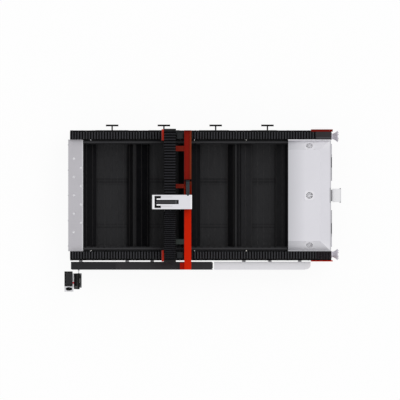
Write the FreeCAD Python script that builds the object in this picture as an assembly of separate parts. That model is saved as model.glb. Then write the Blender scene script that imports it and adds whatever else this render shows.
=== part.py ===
import FreeCAD, Part
import math
import os

# Gantry laser cutting machine with an open bed, for sheets of 3000 x 1500 mm.
# Everything is placed about the middle of the bed: +X to the fume end, +Y to the drawer
# side, +Z up from the floor. Only the export moves the origin to the middle of the footprint.

V = FreeCAD.Vector

# ---- bed -----------------------------------------------------------------------------
BODY_HALF_X = 2241.0        # half length of the bed with its covers
BEAM_OUT_Y = 1106.0         # outer face of the long side beams
BEAM_IN_Y = 950.0           # inner face of the long side beams
BEAM_BOTTOM_Z = 560.0
BEAM_TOP_Z = 780.0
BEAM_WALL = 10.0
BEAM_LEFT_X = 31.0 - BODY_HALF_X
BEAM_RIGHT_X = BODY_HALF_X - 6.0
FOOT_RADIUS = 60.0
FOOT_PAD_T = 18.0
FOOT_STUD_RADIUS = 15.0
FOOT_HEIGHT = 60.0
LEG_SIZE = 120.0
LEG_PLATE_SIZE = 176.0
LEG_PLATE_DEPTH = 140.0
LEG_PLATE_T = 20.0
LEG_X_LEFT = BEAM_LEFT_X + 100.0
LEG_X_RIGHT = BEAM_RIGHT_X - 75.0
TIE_SIZE = 70.0
TIE_TOP_Z = 200.0
CROSS_SIZE = 60.0
CROSS_TOP_Z = 300.0

# ---- bays, hoppers and slats ----------------------------------------------------------
PLATE_LENGTH = 257.0
END_COVER_LENGTH = 747.0
OPEN_LEFT_X = PLATE_LENGTH - BODY_HALF_X        # edge of the loading plate
OPEN_RIGHT_X = BODY_HALF_X - END_COVER_LENGTH   # edge of the end cover
FIRST_BAY_X = OPEN_LEFT_X - 8.0
LAST_BAY_EXTRA = 14.0
BAY_COUNT = 4
BAY_PITCH = (OPEN_RIGHT_X - LAST_BAY_EXTRA - FIRST_BAY_X) / BAY_COUNT
LEG_X_MID_RIGHT = OPEN_RIGHT_X + 62.0
DIVIDER_W = 34.0
DIVIDER_TOP_Z = 640.0
DIVIDER_H = 60.0
WIDE_SLOPES = (220.0, 260.0, 256.0, 280.0)
NARROW_SLOPES = (115.0, 115.0, 136.0, 219.0)
HOPPER_T = 4.0
HOPPER_LOW_Z = 346.0
LINER_Y = 885.0             # inner face of the long liner plates
LINER_T = 5.0
LINER_TOP_Z = 696.0
LEDGE_IN_Y = 891.0
LEDGE_OUT_Y = 921.0
LEDGE_TOP_Z = 780.0
COMB_T = 12.0
COMB_LOW_Z = 630.0
COMB_TOP_Z = 700.0
SLOT_DEPTH = 35.0
SLOT_PLAY = 0.6
TABLE_Z = 800.0             # tips of the slats, where the sheet lies
SLAT_T = 3.0
SLAT_PITCH = 104.0
FIRST_SLAT_X = FIRST_BAY_X + 62.0
LAST_SLAT_GAP = 60.0
SLAT_COUNT = 1 + int((OPEN_RIGHT_X - LAST_SLAT_GAP - FIRST_SLAT_X) / SLAT_PITCH)
SLAT_TEETH = 16
TOOTH_DEPTH = 30.0
TOOTH_TIP_W = 10.0

# ---- slag drawers ---------------------------------------------------------------------
DRAWER_T = 4.0
DRAWER_H = 122.0
DRAWER_FRONT_Y = -900.0
DRAWER_SEAT = 0.3
RUNNER_T = 6.0
RUNNER_W = 40.0
RUNNER_LIP = 26.0
PANEL_MARGIN = 18.0
PANEL_T = 6.0
PANEL_GAP = 3.0
RIB_H = 22.0
RIBS = ((253.0, 18.0), (202.0, 18.0), (-520.0, 34.0))   # place along Y and width of each
HANDLE_W = 212.0
HANDLE_BAR = 24.0
HANDLE_IN_BAY = 490.0
HANDLE_SPREAD = 17.0        # by which the handles stand wider apart than the bays
FIRST_HANDLE_X = FIRST_BAY_X + HANDLE_IN_BAY
HANDLE_PITCH = BAY_PITCH + HANDLE_SPREAD
HANDLE_REACH_Y = 1211.0
HANDLE_Z = 285.0

# ---- loading plate and ball transfer units ----------------------------------------------
PLATE_T = 6.0
PLATE_LIP = 90.0
BALL_R = 14.0
BALL_CUP_R = 19.0
BALL_FLANGE_R = 25.0
BALL_LIP_H = 6.0
BALL_CUP_H = 26.0
BALL_PITCH = 313.0
BALL_ROW_INSET = (96.0, 218.0)
BALL_ROW_COUNT = (5, 4)
FIT = 0.3                   # clearance of parts that lie beside each other

# ---- guides along the bed ---------------------------------------------------------------
WAY_MARGIN = 24.0           # strip of the beam's top left bare outside the way cover
WAY_OUT_Y = BEAM_OUT_Y - WAY_MARGIN
RAIL_Y = 1052.0
RAIL_W = 28.0
RAIL_H = 30.0
RAIL_WAIST = 4.0
RACK_IN_Y = 970.0
RACK_H = 20.0
PINION_R = 24.0
PINION_PLAY = 0.1
PINION_Y = 1012.0
FOLD_IN = 10.0              # how far the valleys lie inside the ridges, at the sides
FOLD_DOWN = 20.0            # and on top
FOLD_WALL = 3.5
BELLOWS_TOP_Z = 900.0
BELLOWS_SEAT = 0.3
FOLD_COUNT_LEFT = 33
FOLD_COUNT_RIGHT = 45
BELLOWS_END_X = BEAM_RIGHT_X - 263.0
FOLD_COUNT_REST = 10
RAIL_COVER_T = 3.0
TRIM_LENGTH = 369.0
TRIM_RIGHT_X = BODY_HALF_X + 18.0
TRIM_LEFT_X = TRIM_RIGHT_X - TRIM_LENGTH
TRIM_T = 18.0
TRIM_LIP_T = 3.0


def box(x0, x1, y0, y1, z0, z1):
    return Part.makeBox(x1 - x0, y1 - y0, z1 - z0, V(x0, y0, z0))


def rod(radius, start, end):
    start, end = V(*start), V(*end)
    return Part.makeCylinder(radius, (end - start).Length, start, end - start)


def prism(points, along):
    """Straight solid on a closed outline of points, swept by one vector."""
    corners = [V(*p) for p in points]
    return Part.Face(Part.makePolygon(corners + corners[:1])).extrude(V(*along))


def turned(points, at, axis_x=False):
    """Solid of revolution: points are (radius, height) about +Z, or about +X."""
    outline = [V(r, 0, h) for r, h in points]
    face = Part.Face(Part.makePolygon(outline + outline[:1]))
    solid = face.revolve(V(0, 0, 0), V(0, 0, 1), 360)
    if axis_x:
        solid.rotate(V(0, 0, 0), V(0, 1, 0), 90)
    solid.translate(V(*at))
    return solid


def group(solids):
    return Part.makeCompound(solids)


def mirrored(solid):
    """The same piece on the other long side."""
    return solid.mirror(V(0, 0, 0), V(0, 1, 0))


def pair(solid):
    return group([solid, mirrored(solid)])


def fused(first, *others):
    return first.fuse(list(others)).removeSplitter()


def tube_x(x0, x1, y0, y1, z0, z1, wall):
    inner = box(x0 - 1, x1 + 1, y0 + wall, y1 - wall, z0 + wall, z1 - wall)
    return box(x0, x1, y0, y1, z0, z1).cut(inner)


def zigzag(start, end, folds, high, low):
    """Fold line from valley to valley: (place along, height) for every crease."""
    step = (end - start) / (2.0 * folds)
    creases = range(2 * folds + 1)
    return [(start + step * i, high if i % 2 else low) for i in creases]


def bellows(start, end, folds, y0, y1, z0, z1):
    """Folded way cover along X: an upturned trough with creases on top and sides."""
    crown = zigzag(start, end, folds, z1, z1 - FOLD_DOWN)
    top = prism([(x, y0, z) for x, z in crown] + [(end, y0, z0), (start, y0, z0)], (0, y1 - y0, 0))
    near = zigzag(start, end, folds, y0, y0 + FOLD_IN)
    far = zigzag(start, end, folds, y1, y1 - FOLD_IN)
    plan = [(x, y, z0) for x, y in near] + [(x, y, z0) for x, y in reversed(far)]
    sides = prism(plan, (0, 0, z1 - z0))
    inset = FOLD_IN + FOLD_WALL
    hollow = box(start - 1, end + 1, y0 + inset, y1 - inset, z0 - 1, z1 - FOLD_DOWN - FOLD_WALL)
    return top.common(sides).cut(hollow)


# ---- bed pieces -------------------------------------------------------------------------
BAY_LEFT = [FIRST_BAY_X + BAY_PITCH * i for i in range(BAY_COUNT)]
BAY_RIGHT = BAY_LEFT[1:] + [OPEN_RIGHT_X + DIVIDER_W / 2]
FLOOR_LEFT = [x + slope for x, slope in zip(BAY_LEFT, WIDE_SLOPES)]
FLOOR_RIGHT = [x - slope for x, slope in zip(BAY_RIGHT, NARROW_SLOPES)]
LEG_X = [LEG_X_LEFT] + BAY_LEFT[1:] + [LEG_X_MID_RIGHT, LEG_X_RIGHT]
LEG_Y = (BEAM_IN_Y + BEAM_OUT_Y) / 2
LEG_LOW_Z = FOOT_HEIGHT + LEG_PLATE_T


def levelling_feet():
    outline = [
        (0, 0), (FOOT_RADIUS, 0), (FOOT_RADIUS, FOOT_PAD_T / 2), (FOOT_STUD_RADIUS, FOOT_PAD_T),
        (FOOT_STUD_RADIUS, FOOT_HEIGHT), (0, FOOT_HEIGHT),
    ]
    return group([turned(outline, (x, y, 0)) for x in LEG_X for y in (-LEG_Y, LEG_Y)])


def bed_legs():
    half, plate = LEG_SIZE / 2, LEG_PLATE_SIZE / 2
    solids = []
    for x in LEG_X:
        post = box(x - half, x + half, LEG_Y - half, LEG_Y + half, LEG_LOW_Z, BEAM_BOTTOM_Z)
        depth = LEG_PLATE_DEPTH / 2
        base = box(x - plate, x + plate, LEG_Y - depth, LEG_Y + depth, FOOT_HEIGHT, LEG_LOW_Z)
        leg = fused(post, base)
        solids += [leg, mirrored(leg)]
    return group(solids)


def lower_frame():
    """Ties from leg to leg, cross tubes from side to side, drawer runners and equipment deck."""
    half = LEG_SIZE / 2
    solids = []
    for left, right in zip(LEG_X, LEG_X[1:]):
        y0, y1 = LEG_Y - TIE_SIZE / 2, LEG_Y + TIE_SIZE / 2
        tie = box(left + half, right - half, y0, y1, TIE_TOP_Z - TIE_SIZE, TIE_TOP_Z)
        solids += [tie, mirrored(tie)]
    for x in LEG_X:
        x0, x1 = x - CROSS_SIZE / 2, x + CROSS_SIZE / 2
        solids.append(box(x0, x1, half - LEG_Y, LEG_Y - half, CROSS_TOP_Z - CROSS_SIZE, CROSS_TOP_Z))
    return group(solids + drawer_runners() + [equipment_deck()])


def bed_beams():
    """Box beams, closed at the right end, each with its rack as a plain bar at the pitch line."""
    beam = tube_x(BEAM_LEFT_X, BEAM_RIGHT_X, BEAM_IN_Y, BEAM_OUT_Y, BEAM_BOTTOM_Z, BEAM_TOP_Z, BEAM_WALL)
    rack_out_y = PINION_Y - PINION_R - PINION_PLAY
    rack = box(BEAM_LEFT_X, BELLOWS_END_X, RACK_IN_Y, rack_out_y, BEAM_TOP_Z, BEAM_TOP_Z + RACK_H)
    end = box(BEAM_RIGHT_X - BEAM_WALL, BEAM_RIGHT_X, BEAM_IN_Y, BEAM_OUT_Y, BEAM_BOTTOM_Z, BEAM_TOP_Z)
    return pair(fused(beam, end, rack))


def x_rails():
    """Profile rails with a waist under the head, along both beams."""
    half, waist = RAIL_W / 2, RAIL_W / 2 - RAIL_WAIST
    low, mid, head = BEAM_TOP_Z, BEAM_TOP_Z + RAIL_H * 0.4, BEAM_TOP_Z + RAIL_H * 0.7
    side = [(half, low), (half, low + 8), (waist, mid), (half, head), (half, low + RAIL_H)]
    outline = [(BEAM_LEFT_X, RAIL_Y + y, z) for y, z in side]
    outline += [(BEAM_LEFT_X, RAIL_Y - y, z) for y, z in reversed(side)]
    return pair(prism(outline, (BEAM_RIGHT_X - RAIL_COVER_T - FIT - BEAM_LEFT_X, 0, 0)))


def divider_bars():
    half = DIVIDER_W / 2
    low = DIVIDER_TOP_Z - DIVIDER_H
    comb_y = LINER_Y - COMB_T
    bars = []
    for x in BAY_LEFT:
        deep = box(x - half, x + half, -LINER_Y, LINER_Y, low, COMB_LOW_Z)
        crest = box(x - half, x + half, -comb_y, comb_y, COMB_LOW_Z, DIVIDER_TOP_Z)
        bars.append(fused(deep, crest))
    return group(bars)


def slat_places():
    return [FIRST_SLAT_X + SLAT_PITCH * i for i in range(SLAT_COUNT)]


def bed_liners():
    """Long wall plates with a top flange to the beam and a slotted comb for the slats."""
    x0, x1 = FIRST_BAY_X - DIVIDER_W / 2, OPEN_RIGHT_X
    wall = box(x0, x1, LINER_Y, LINER_Y + LINER_T, HOPPER_LOW_Z, LINER_TOP_Z)
    flange = box(x0, x1, LINER_Y, BEAM_IN_Y, LINER_TOP_Z - LINER_T, LINER_TOP_Z)
    comb = box(x0, x1, LINER_Y - COMB_T, LINER_Y, COMB_LOW_Z, COMB_TOP_Z)
    half = (SLAT_T + SLOT_PLAY) / 2
    slots = []
    for x in slat_places():
        y0, z0 = LINER_Y - COMB_T - 1, COMB_TOP_Z - SLOT_DEPTH
        slots.append(box(x - half, x + half, y0, LINER_Y, z0, COMB_TOP_Z + 1))
    return pair(fused(wall, flange, comb).cut(group(slots)))


def cutting_slats():
    """Thin upright plates with a row of points, hung in the combs."""
    half_y = LINER_Y - FIT
    low = COMB_TOP_Z - SLOT_DEPTH
    pitch = 2 * half_y / SLAT_TEETH
    crest = []
    for i in range(SLAT_TEETH):
        left = half_y - pitch * i
        tip = left - pitch / 2
        crest += [(left, TABLE_Z - TOOTH_DEPTH), (tip + TOOTH_TIP_W / 2, TABLE_Z)]
        crest += [(tip - TOOTH_TIP_W / 2, TABLE_Z)]
    crest.append((-half_y, TABLE_Z - TOOTH_DEPTH))
    outline = [(0, -half_y, low), (0, half_y, low)] + [(0, y, z) for y, z in crest]
    slat = prism(outline, (SLAT_T, 0, 0))
    return group([slat.translated(V(x - SLAT_T / 2, 0, 0)) for x in slat_places()])


def sheet_ledges():
    return pair(box(OPEN_LEFT_X, OPEN_RIGHT_X, LEDGE_IN_Y, LEDGE_OUT_Y, LINER_TOP_Z, LEDGE_TOP_Z))


def hopper_plates():
    """A wide and a narrow slope in each bay, from the divider bars down to the drawers."""
    top = DIVIDER_TOP_Z - DIVIDER_H / 2
    half = DIVIDER_W / 2
    span = (0, 2 * (LINER_Y - FIT), 0)
    y0 = FIT - LINER_Y
    solids = []
    for left, floor_left, floor_right, right in zip(BAY_LEFT, FLOOR_LEFT, FLOOR_RIGHT, BAY_RIGHT):
        high = left + half
        wide = [(high, y0, top), (high + HOPPER_T, y0, top), (floor_left, y0, HOPPER_LOW_Z + HOPPER_T)]
        solids.append(prism(wide + [(floor_left, y0, HOPPER_LOW_Z)], span))
        high = right - half
        steep = [(high, y0, top), (high - HOPPER_T, y0, top), (floor_right, y0, HOPPER_LOW_Z + HOPPER_T)]
        solids.append(prism(steep + [(floor_right, y0, HOPPER_LOW_Z)], span))
    return group(solids)


def drawer_runners():
    """Two angles under each drawer, laid on the long ties."""
    reach = LEG_Y + TIE_SIZE / 2
    z0, z1 = TIE_TOP_Z, TIE_TOP_Z + RUNNER_T
    solids = []
    for left, right in zip(FLOOR_LEFT, FLOOR_RIGHT):
        for edge, inward in ((left, 1), (right, -1)):
            out = edge - inward * (FIT + RUNNER_T)
            x0, x1 = sorted((out, out + inward * RUNNER_W))
            lip0, lip1 = sorted((out, out + inward * RUNNER_T))
            flat = box(x0, x1, -reach, reach, z0, z1)
            lip = box(lip0, lip1, -reach, reach, z0, z1 + RUNNER_LIP)
            solids.append(fused(flat, lip))
    return solids


def slag_drawer(index):
    """Open tray with two cross ribs, an end panel and a welded T handle."""
    x0, x1 = FLOOR_LEFT[index], FLOOR_RIGHT[index]
    z0 = TIE_TOP_Z + RUNNER_T + DRAWER_SEAT
    z1 = z0 + DRAWER_H
    panel_y = BEAM_OUT_Y + PANEL_GAP
    tray = box(x0, x1, DRAWER_FRONT_Y, panel_y, z0, z1)
    hollow = box(x0 + DRAWER_T, x1 - DRAWER_T, DRAWER_FRONT_Y + DRAWER_T, panel_y, z0 + DRAWER_T, z1 + 1)
    pieces = []
    for y, width in RIBS:
        y0, y1 = y - width / 2, y + width / 2
        pieces.append(box(x0 + DRAWER_T, x1 - DRAWER_T, y0, y1, z0 + DRAWER_T, z0 + DRAWER_T + RIB_H))
    top = z1 + PANEL_MARGIN - PANEL_GAP
    pieces.append(box(x0 - PANEL_MARGIN, x1 + PANEL_MARGIN, panel_y, panel_y + PANEL_T, z0, top))
    middle = FIRST_HANDLE_X + HANDLE_PITCH * index
    half = HANDLE_BAR / 2
    bar_y = HANDLE_REACH_Y - half
    end = HANDLE_W / 2
    pieces.append(rod(half, (middle, panel_y + PANEL_T, HANDLE_Z), (middle, bar_y, HANDLE_Z)))
    pieces.append(rod(half, (middle - end, bar_y, HANDLE_Z), (middle + end, bar_y, HANDLE_Z)))
    return fused(tray.cut(hollow), *pieces)


# ---- left end ---------------------------------------------------------------------------
def ball_places():
    places = []
    for inset, count in zip(BALL_ROW_INSET, BALL_ROW_COUNT):
        x = inset - BODY_HALF_X
        first = -BALL_PITCH * (count - 1) / 2
        places += [(x, first + BALL_PITCH * i) for i in range(count)]
    return places


def loading_plate():
    """Folded plate with both long edges turned down, on a cross wall between the beams."""
    left, right = -BODY_HALF_X, OPEN_LEFT_X
    low = TABLE_Z - PLATE_T
    top = box(left, right, -BEAM_IN_Y, BEAM_IN_Y, low, TABLE_Z)
    lip_out = box(left, left + PLATE_T, -BEAM_IN_Y, BEAM_IN_Y, TABLE_Z - PLATE_LIP, TABLE_Z)
    lip_in = box(right - PLATE_T, right, -LINER_Y, LINER_Y, TABLE_Z - PLATE_LIP, TABLE_Z)
    wall = box(LEG_X_LEFT - 40, LEG_X_LEFT + 40, -BEAM_IN_Y, BEAM_IN_Y, BEAM_BOTTOM_Z, low)
    holes = [rod(BALL_CUP_R + FIT, (x, y, low - 1), (x, y, TABLE_Z + 1)) for x, y in ball_places()]
    holes += [rod(BALL_CUP_R + FIT, (x, y, low - BALL_CUP_H), (x, y, low)) for x, y in ball_places()]
    return fused(top, lip_out, lip_in, wall).cut(group(holes))


def ball_cups():
    reach, depth = BALL_R + FIT, BALL_CUP_H
    outline = [
        (BALL_R - 1, BALL_LIP_H), (BALL_FLANGE_R - 6, BALL_LIP_H), (BALL_FLANGE_R, 0),
        (BALL_CUP_R, 0), (BALL_CUP_R, -depth), (0, -depth), (0, -reach), (reach, -reach), (reach, 2),
    ]
    return group([turned(outline, (x, y, TABLE_Z)) for x, y in ball_places()])


def transfer_balls():
    return group([Part.makeSphere(BALL_R, V(x, y, TABLE_Z)) for x, y in ball_places()])


# ---- right end --------------------------------------------------------------------------
COVER_T = 4.0
COVER_SEAT_Z = 306.0
COVER_EAVES_Z = 795.0
COVER_TOP_Z = 945.0
COVER_SLOPE_Y = 175.0       # width of the long bevels in plan
COVER_SLOPE_X = 190.0
END_X = BODY_HALF_X - 12.0  # outer face of the cover at the fume end
DECK_T = 6.0
FAN_FROM_END = 381.0
FAN_X = BODY_HALF_X - FAN_FROM_END
FAN_SIDE_Y = 842.0
FAN_SIZE = 120.0
FAN_R = 52.0
FAN_BORE_R = 55.0
FAN_T = 25.0
FAN_BLADES = 5
FAN_HUB_R = 20.0
FAN_SHAFT_R = 4.0
FAN_SHAFT_PLAY = 0.05
FAN_HUB_TOP = -COVER_T - 4.0
FAN_BORE_TOP = FAN_HUB_TOP - 2.0
FAN_SPOKE = 3.0
GUARD_SIZE = 168.0
GUARD_T = 3.0
GUARD_BAR = 5.0
GUARD_RINGS = (18.0, 31.0, 44.0)    # outer radii of the wire rings
DOOR_Y = 563.0
DOOR_W = 600.0
DOOR_H = 340.0
DOOR_T = 3.0
DOOR_TOP_Z = 690.0
DOOR_GAP = 1.5
DOOR_PIN_R = 5.0
DOOR_PIN_PLAY = 0.08
DOOR_BARREL_R = 8.0
DOOR_EAR = 12.0
DOOR_HANDLE_W = 177.0
DOOR_HANDLE_R = 6.0
DOOR_HANDLE_Z = 430.0
DOOR_REACH = 24.0           # how far the door handles stand out from the cover
DUCT_LEFT_X = BODY_HALF_X + 23.0
DUCT_DEPTH = 140.0
DUCT_RIGHT_X = DUCT_LEFT_X + DUCT_DEPTH
DUCT_HALF_Y = 127.0
DUCT_Z = (430.0, 690.0)
DUCT_T = 4.0
DUCT_FLANGE = 22.0
DUCT_FLANGE_T = 10.0
DUCT_BOLT_R = 5.5
DUCT_NECK = 30.0            # how far the neck is drawn in from the box
BOLLARD_Y = 1005.0
BOLLARD_R = 93.5
BOLLARD_WAIST_R = 48.0
BOLLARD_REACH = 114.0
BOLLARD_RIM = 12.0
BOLLARD_Z = 670.0
SOURCE_FROM_OPENING = 146.0
SOURCE_FROM_END = 141.0
SOURCE_BOX = (OPEN_RIGHT_X + SOURCE_FROM_OPENING, BODY_HALF_X - SOURCE_FROM_END, 120.0, 760.0, 280.0)


def bevel(inset, width):
    """Height of the eaves and width of a bevel, set in square to its face."""
    fall = (COVER_TOP_Z - COVER_EAVES_Z) / width
    eaves = COVER_EAVES_Z + inset * fall - inset * math.hypot(1, fall)
    return eaves, (COVER_TOP_Z - inset - eaves) / fall


def roof(inset):
    """Closed block of the end cover: long bevels on both sides and one at the end."""
    y, top = BEAM_IN_Y - FIT - inset, COVER_TOP_Z - inset
    left, right = OPEN_RIGHT_X + inset, END_X - inset
    eaves, run_y = bevel(inset, COVER_SLOPE_Y)
    eaves_x, run_x = bevel(inset, COVER_SLOPE_X)
    ridge_y, ridge_x = y - run_y, right - run_x
    low = COVER_SEAT_Z - (inset > 0)
    gable = [(left, -y, low), (left, y, low), (left, y, eaves), (left, ridge_y, top)]
    gable += [(left, -ridge_y, top), (left, -y, eaves)]
    side = [(left, -y, low), (right, -y, low), (right, -y, eaves_x), (ridge_x, -y, top), (left, -y, top)]
    return prism(gable, (right - left, 0, 0)).common(prism(side, (0, 2 * y, 0)))


def fan_places():
    """Each fan as (y, height of the roof there, lean of the roof in degrees about X)."""
    ridge_y = BEAM_IN_Y - FIT - COVER_SLOPE_Y
    fall = (COVER_TOP_Z - COVER_EAVES_Z) / COVER_SLOPE_Y
    z = COVER_TOP_Z - (FAN_SIDE_Y - ridge_y) * fall
    lean = math.degrees(math.atan(fall))
    return [(-FAN_SIDE_Y, z, lean), (0.0, COVER_TOP_Z, 0.0), (FAN_SIDE_Y, z, -lean)]


def on_roof(solid, place):
    """Moves a piece made about the origin, facing up, to its place on the roof."""
    y, z, lean = place
    laid = solid.rotated(V(0, 0, 0), V(1, 0, 0), lean)
    return laid.translated(V(FAN_X, y, z))


def door_pin_x():
    return END_X + DOOR_BARREL_R + 1


def end_cover():
    """Folded cover with fan holes, two door openings, ears with hinge pins and a duct neck."""
    shell = roof(0).cut(roof(COVER_T))
    holes = [on_roof(rod(FAN_BORE_R, (0, 0, -2 * COVER_T), (0, 0, 1)), place) for place in fan_places()]
    out = END_X
    for side in (-1, 1):
        y0, y1 = sorted((side * (DOOR_Y - DOOR_W / 2 + 30), side * (DOOR_Y + DOOR_W / 2 - 30)))
        holes.append(box(out - COVER_T - 1, out + 1, y0, y1, DOOR_TOP_Z - DOOR_H + 30, DOOR_TOP_Z - 40))
    neck_y, z0, z1 = DUCT_HALF_Y - DUCT_NECK, DUCT_Z[0] + DUCT_NECK, DUCT_Z[1] - DUCT_NECK
    holes.append(box(out - COVER_T - 1, out + 1, DUCT_T - neck_y, neck_y - DUCT_T, z0 + DUCT_T, z1 - DUCT_T))
    pin_x, pin_z = door_pin_x(), DOOR_TOP_Z
    pieces = []
    for side in (-1, 1):
        for edge in (-1, 1):
            inner = side * DOOR_Y + edge * (DOOR_W / 2 + DOOR_GAP)
            y0, y1 = sorted((inner, inner + edge * DOOR_EAR))
            radius = DOOR_BARREL_R
            pieces.append(box(out - 1, pin_x + radius, y0, y1, pin_z - radius, pin_z + radius))
        y0 = side * DOOR_Y - DOOR_W / 2 - DOOR_GAP - 1
        pieces.append(rod(DOOR_PIN_R, (pin_x, y0, pin_z), (pin_x, y0 + DOOR_W + 2 * DOOR_GAP + 2, pin_z)))
    return fused(shell.cut(group(holes)), *pieces)


def service_door(side):
    """Flap hung from a rolled barrel at its top edge, with a bar handle near its foot."""
    x0 = END_X + DOOR_GAP
    y0, y1 = side * DOOR_Y - DOOR_W / 2, side * DOOR_Y + DOOR_W / 2
    pin_x, pin_z = door_pin_x(), DOOR_TOP_Z
    leaf = box(x0, x0 + DOOR_T, y0, y1, pin_z - DOOR_H, pin_z - DOOR_BARREL_R)
    web = box(x0, x0 + DOOR_T, y0, y1, pin_z - DOOR_BARREL_R, pin_z)
    barrel = rod(DOOR_BARREL_R, (pin_x, y0, pin_z), (pin_x, y1, pin_z))
    bore = rod(DOOR_PIN_R + DOOR_PIN_PLAY, (pin_x, y0 - 1, pin_z), (pin_x, y1 + 1, pin_z))
    radius, half = DOOR_HANDLE_R, DOOR_HANDLE_W / 2
    bar_x, middle, z = END_X + DOOR_REACH - radius, side * DOOR_Y, DOOR_HANDLE_Z
    bar = rod(radius, (bar_x, middle - half, z), (bar_x, middle + half, z))
    posts = []
    for end in (-1, 1):
        y = middle + end * (half - 2 * radius)
        posts.append(box(x0 + DOOR_T - 1, bar_x, y - radius, y + radius, z - radius * 0.8, z + radius * 0.8))
    return fused(leaf, web, barrel, bar, *posts).cut(bore)


def fan_guards():
    """Square guards of wire rings on three bars, screwed down over each fan."""
    half, reach, thick = GUARD_SIZE / 2, FAN_BORE_R + 2, GUARD_BAR / 2
    plate = box(-half, half, -half, half, 0, GUARD_T).cut(rod(FAN_BORE_R, (0, 0, -1), (0, 0, GUARD_T + 1)))
    bar = box(-reach, reach, -thick, thick, 0, GUARD_T)
    bars = [bar.rotated(V(0, 0, 0), V(0, 0, 1), turn) for turn in (0, 60, 120)]
    rings = []
    for radius in GUARD_RINGS:
        inside = rod(radius - GUARD_BAR, (0, 0, -1), (0, 0, GUARD_T + 1))
        rings.append(rod(radius, (0, 0, 0), (0, 0, GUARD_T)).cut(inside))
    guard = fused(plate, *bars, *rings)
    return group([on_roof(guard, place) for place in fan_places()])


def fan_frames():
    """Square fan housings under the roof, each with spokes to the motor's stub axle."""
    half, top, low = FAN_SIZE / 2, -COVER_T - FIT, -COVER_T - FAN_T
    bore = rod(FAN_BORE_R, (0, 0, low - 1), (0, 0, top + 1))
    frame = box(-half, half, -half, half, low, top).cut(bore)
    reach, thick = FAN_BORE_R + 1, FAN_SPOKE
    spokes = [box(-reach, reach, -thick, thick, low, low + thick)]
    spokes.append(box(-thick, thick, -reach, reach, low, low + thick))
    stub = rod(FAN_SHAFT_R, (0, 0, low), (0, 0, FAN_BORE_TOP - FIT))
    whole = fused(frame, *spokes, stub)
    return group([on_roof(whole, place) for place in fan_places()])


def fan_rotor(index):
    """Hub with pitched blades, turning on the stub axle of its frame."""
    low, high = -COVER_T - FAN_T + FAN_SPOKE + FIT, FAN_HUB_TOP
    hub = rod(FAN_HUB_R, (0, 0, low), (0, 0, high))
    root = FAN_HUB_R - 2
    foot = [(root, -9, low), (root, -9, low + 2), (root, 9, high - 2), (root, 9, high - 4)]
    blade = prism(foot, (FAN_R - root, 0, 0))
    turns = [360.0 * i / FAN_BLADES for i in range(FAN_BLADES)]
    blades = [blade.rotated(V(0, 0, 0), V(0, 0, 1), turn) for turn in turns]
    bore = rod(FAN_SHAFT_R + FAN_SHAFT_PLAY, (0, 0, low - 1), (0, 0, FAN_BORE_TOP))
    return on_roof(fused(hub, *blades).cut(bore), fan_places()[index])


def equipment_deck():
    y = BEAM_IN_Y - FIT
    return box(OPEN_RIGHT_X, END_X, -y, y, CROSS_TOP_Z, CROSS_TOP_Z + DECK_T)


def cabinet(extent):
    """Closed equipment box standing on the deck, with a recessed foot."""
    x0, x1, y0, y1, height = extent
    z0 = CROSS_TOP_Z + DECK_T
    foot = box(x0 + 20, x1 - 20, y0 + 20, y1 - 20, z0, z0 + 30)
    return fused(foot, box(x0, x1, y0, y1, z0 + 30, z0 + height))


def fume_duct():
    """Square outlet box with a bolt flange at its mouth, on a narrower neck to the cover."""
    low, high = DUCT_Z
    y = DUCT_HALF_Y
    hollow = box(DUCT_LEFT_X + DUCT_T, DUCT_RIGHT_X + 1, DUCT_FLANGE - y, y - DUCT_FLANGE,
                 low + DUCT_FLANGE, high - DUCT_FLANGE)
    body = box(DUCT_LEFT_X, DUCT_RIGHT_X, DUCT_T * 3 - y, y - DUCT_T * 3, low + DUCT_T * 3, high - DUCT_T * 3)
    flange = box(DUCT_RIGHT_X - DUCT_FLANGE_T, DUCT_RIGHT_X, -y, y, low, high)
    inner_y, z0, z1 = y - DUCT_NECK, low + DUCT_NECK, high - DUCT_NECK
    neck = box(END_X, DUCT_LEFT_X, -inner_y, inner_y, z0, z1)
    passage = box(END_X - 1, DUCT_LEFT_X + DUCT_T + 1, DUCT_T - inner_y, inner_y - DUCT_T,
                  z0 + DUCT_T, z1 - DUCT_T)
    bolts = []
    for y_bolt in (DUCT_FLANGE / 2 - y, y - DUCT_FLANGE / 2):
        for z_bolt in (low + DUCT_FLANGE / 2, high - DUCT_FLANGE / 2):
            start = (DUCT_RIGHT_X - DUCT_FLANGE_T - 1, y_bolt, z_bolt)
            bolts.append(rod(DUCT_BOLT_R, start, (DUCT_RIGHT_X + 1, y_bolt, z_bolt)))
    return fused(body, flange, neck).cut(group([hollow, passage] + bolts))


def lifting_bollards():
    """Spools on the beam ends, for slings: flared to a rim at both ends."""
    reach = BOLLARD_REACH
    waist = reach * 0.3
    outline = [
        (0, 0), (BOLLARD_WAIST_R * 1.25, 0), (BOLLARD_WAIST_R, waist * 0.6), (BOLLARD_WAIST_R, waist),
        (BOLLARD_R * 0.72, reach * 0.62), (BOLLARD_R, reach - BOLLARD_RIM), (BOLLARD_R, reach), (0, reach),
    ]
    return pair(turned(outline, (BEAM_RIGHT_X, BOLLARD_Y, BOLLARD_Z), axis_x=True))


def end_trims():
    """Trim plates on the right ends of both beams, the rear one folded over the beam's top."""
    side = box(TRIM_LEFT_X, TRIM_RIGHT_X, BEAM_OUT_Y, BEAM_OUT_Y + TRIM_T, BEAM_BOTTOM_Z, BEAM_TOP_Z)
    cut = box(TRIM_LEFT_X + 60, TRIM_RIGHT_X - 60, BEAM_OUT_Y + 4, BEAM_OUT_Y + TRIM_T + 1,
              BEAM_BOTTOM_Z + 40, BEAM_TOP_Z - 40)
    plate = side.cut(cut)
    lip = box(TRIM_LEFT_X, TRIM_RIGHT_X, WAY_OUT_Y + 2, BEAM_OUT_Y + TRIM_T, BEAM_TOP_Z,
              BEAM_TOP_Z + TRIM_LIP_T)
    return group([fused(plate, lip), mirrored(plate)])


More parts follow.
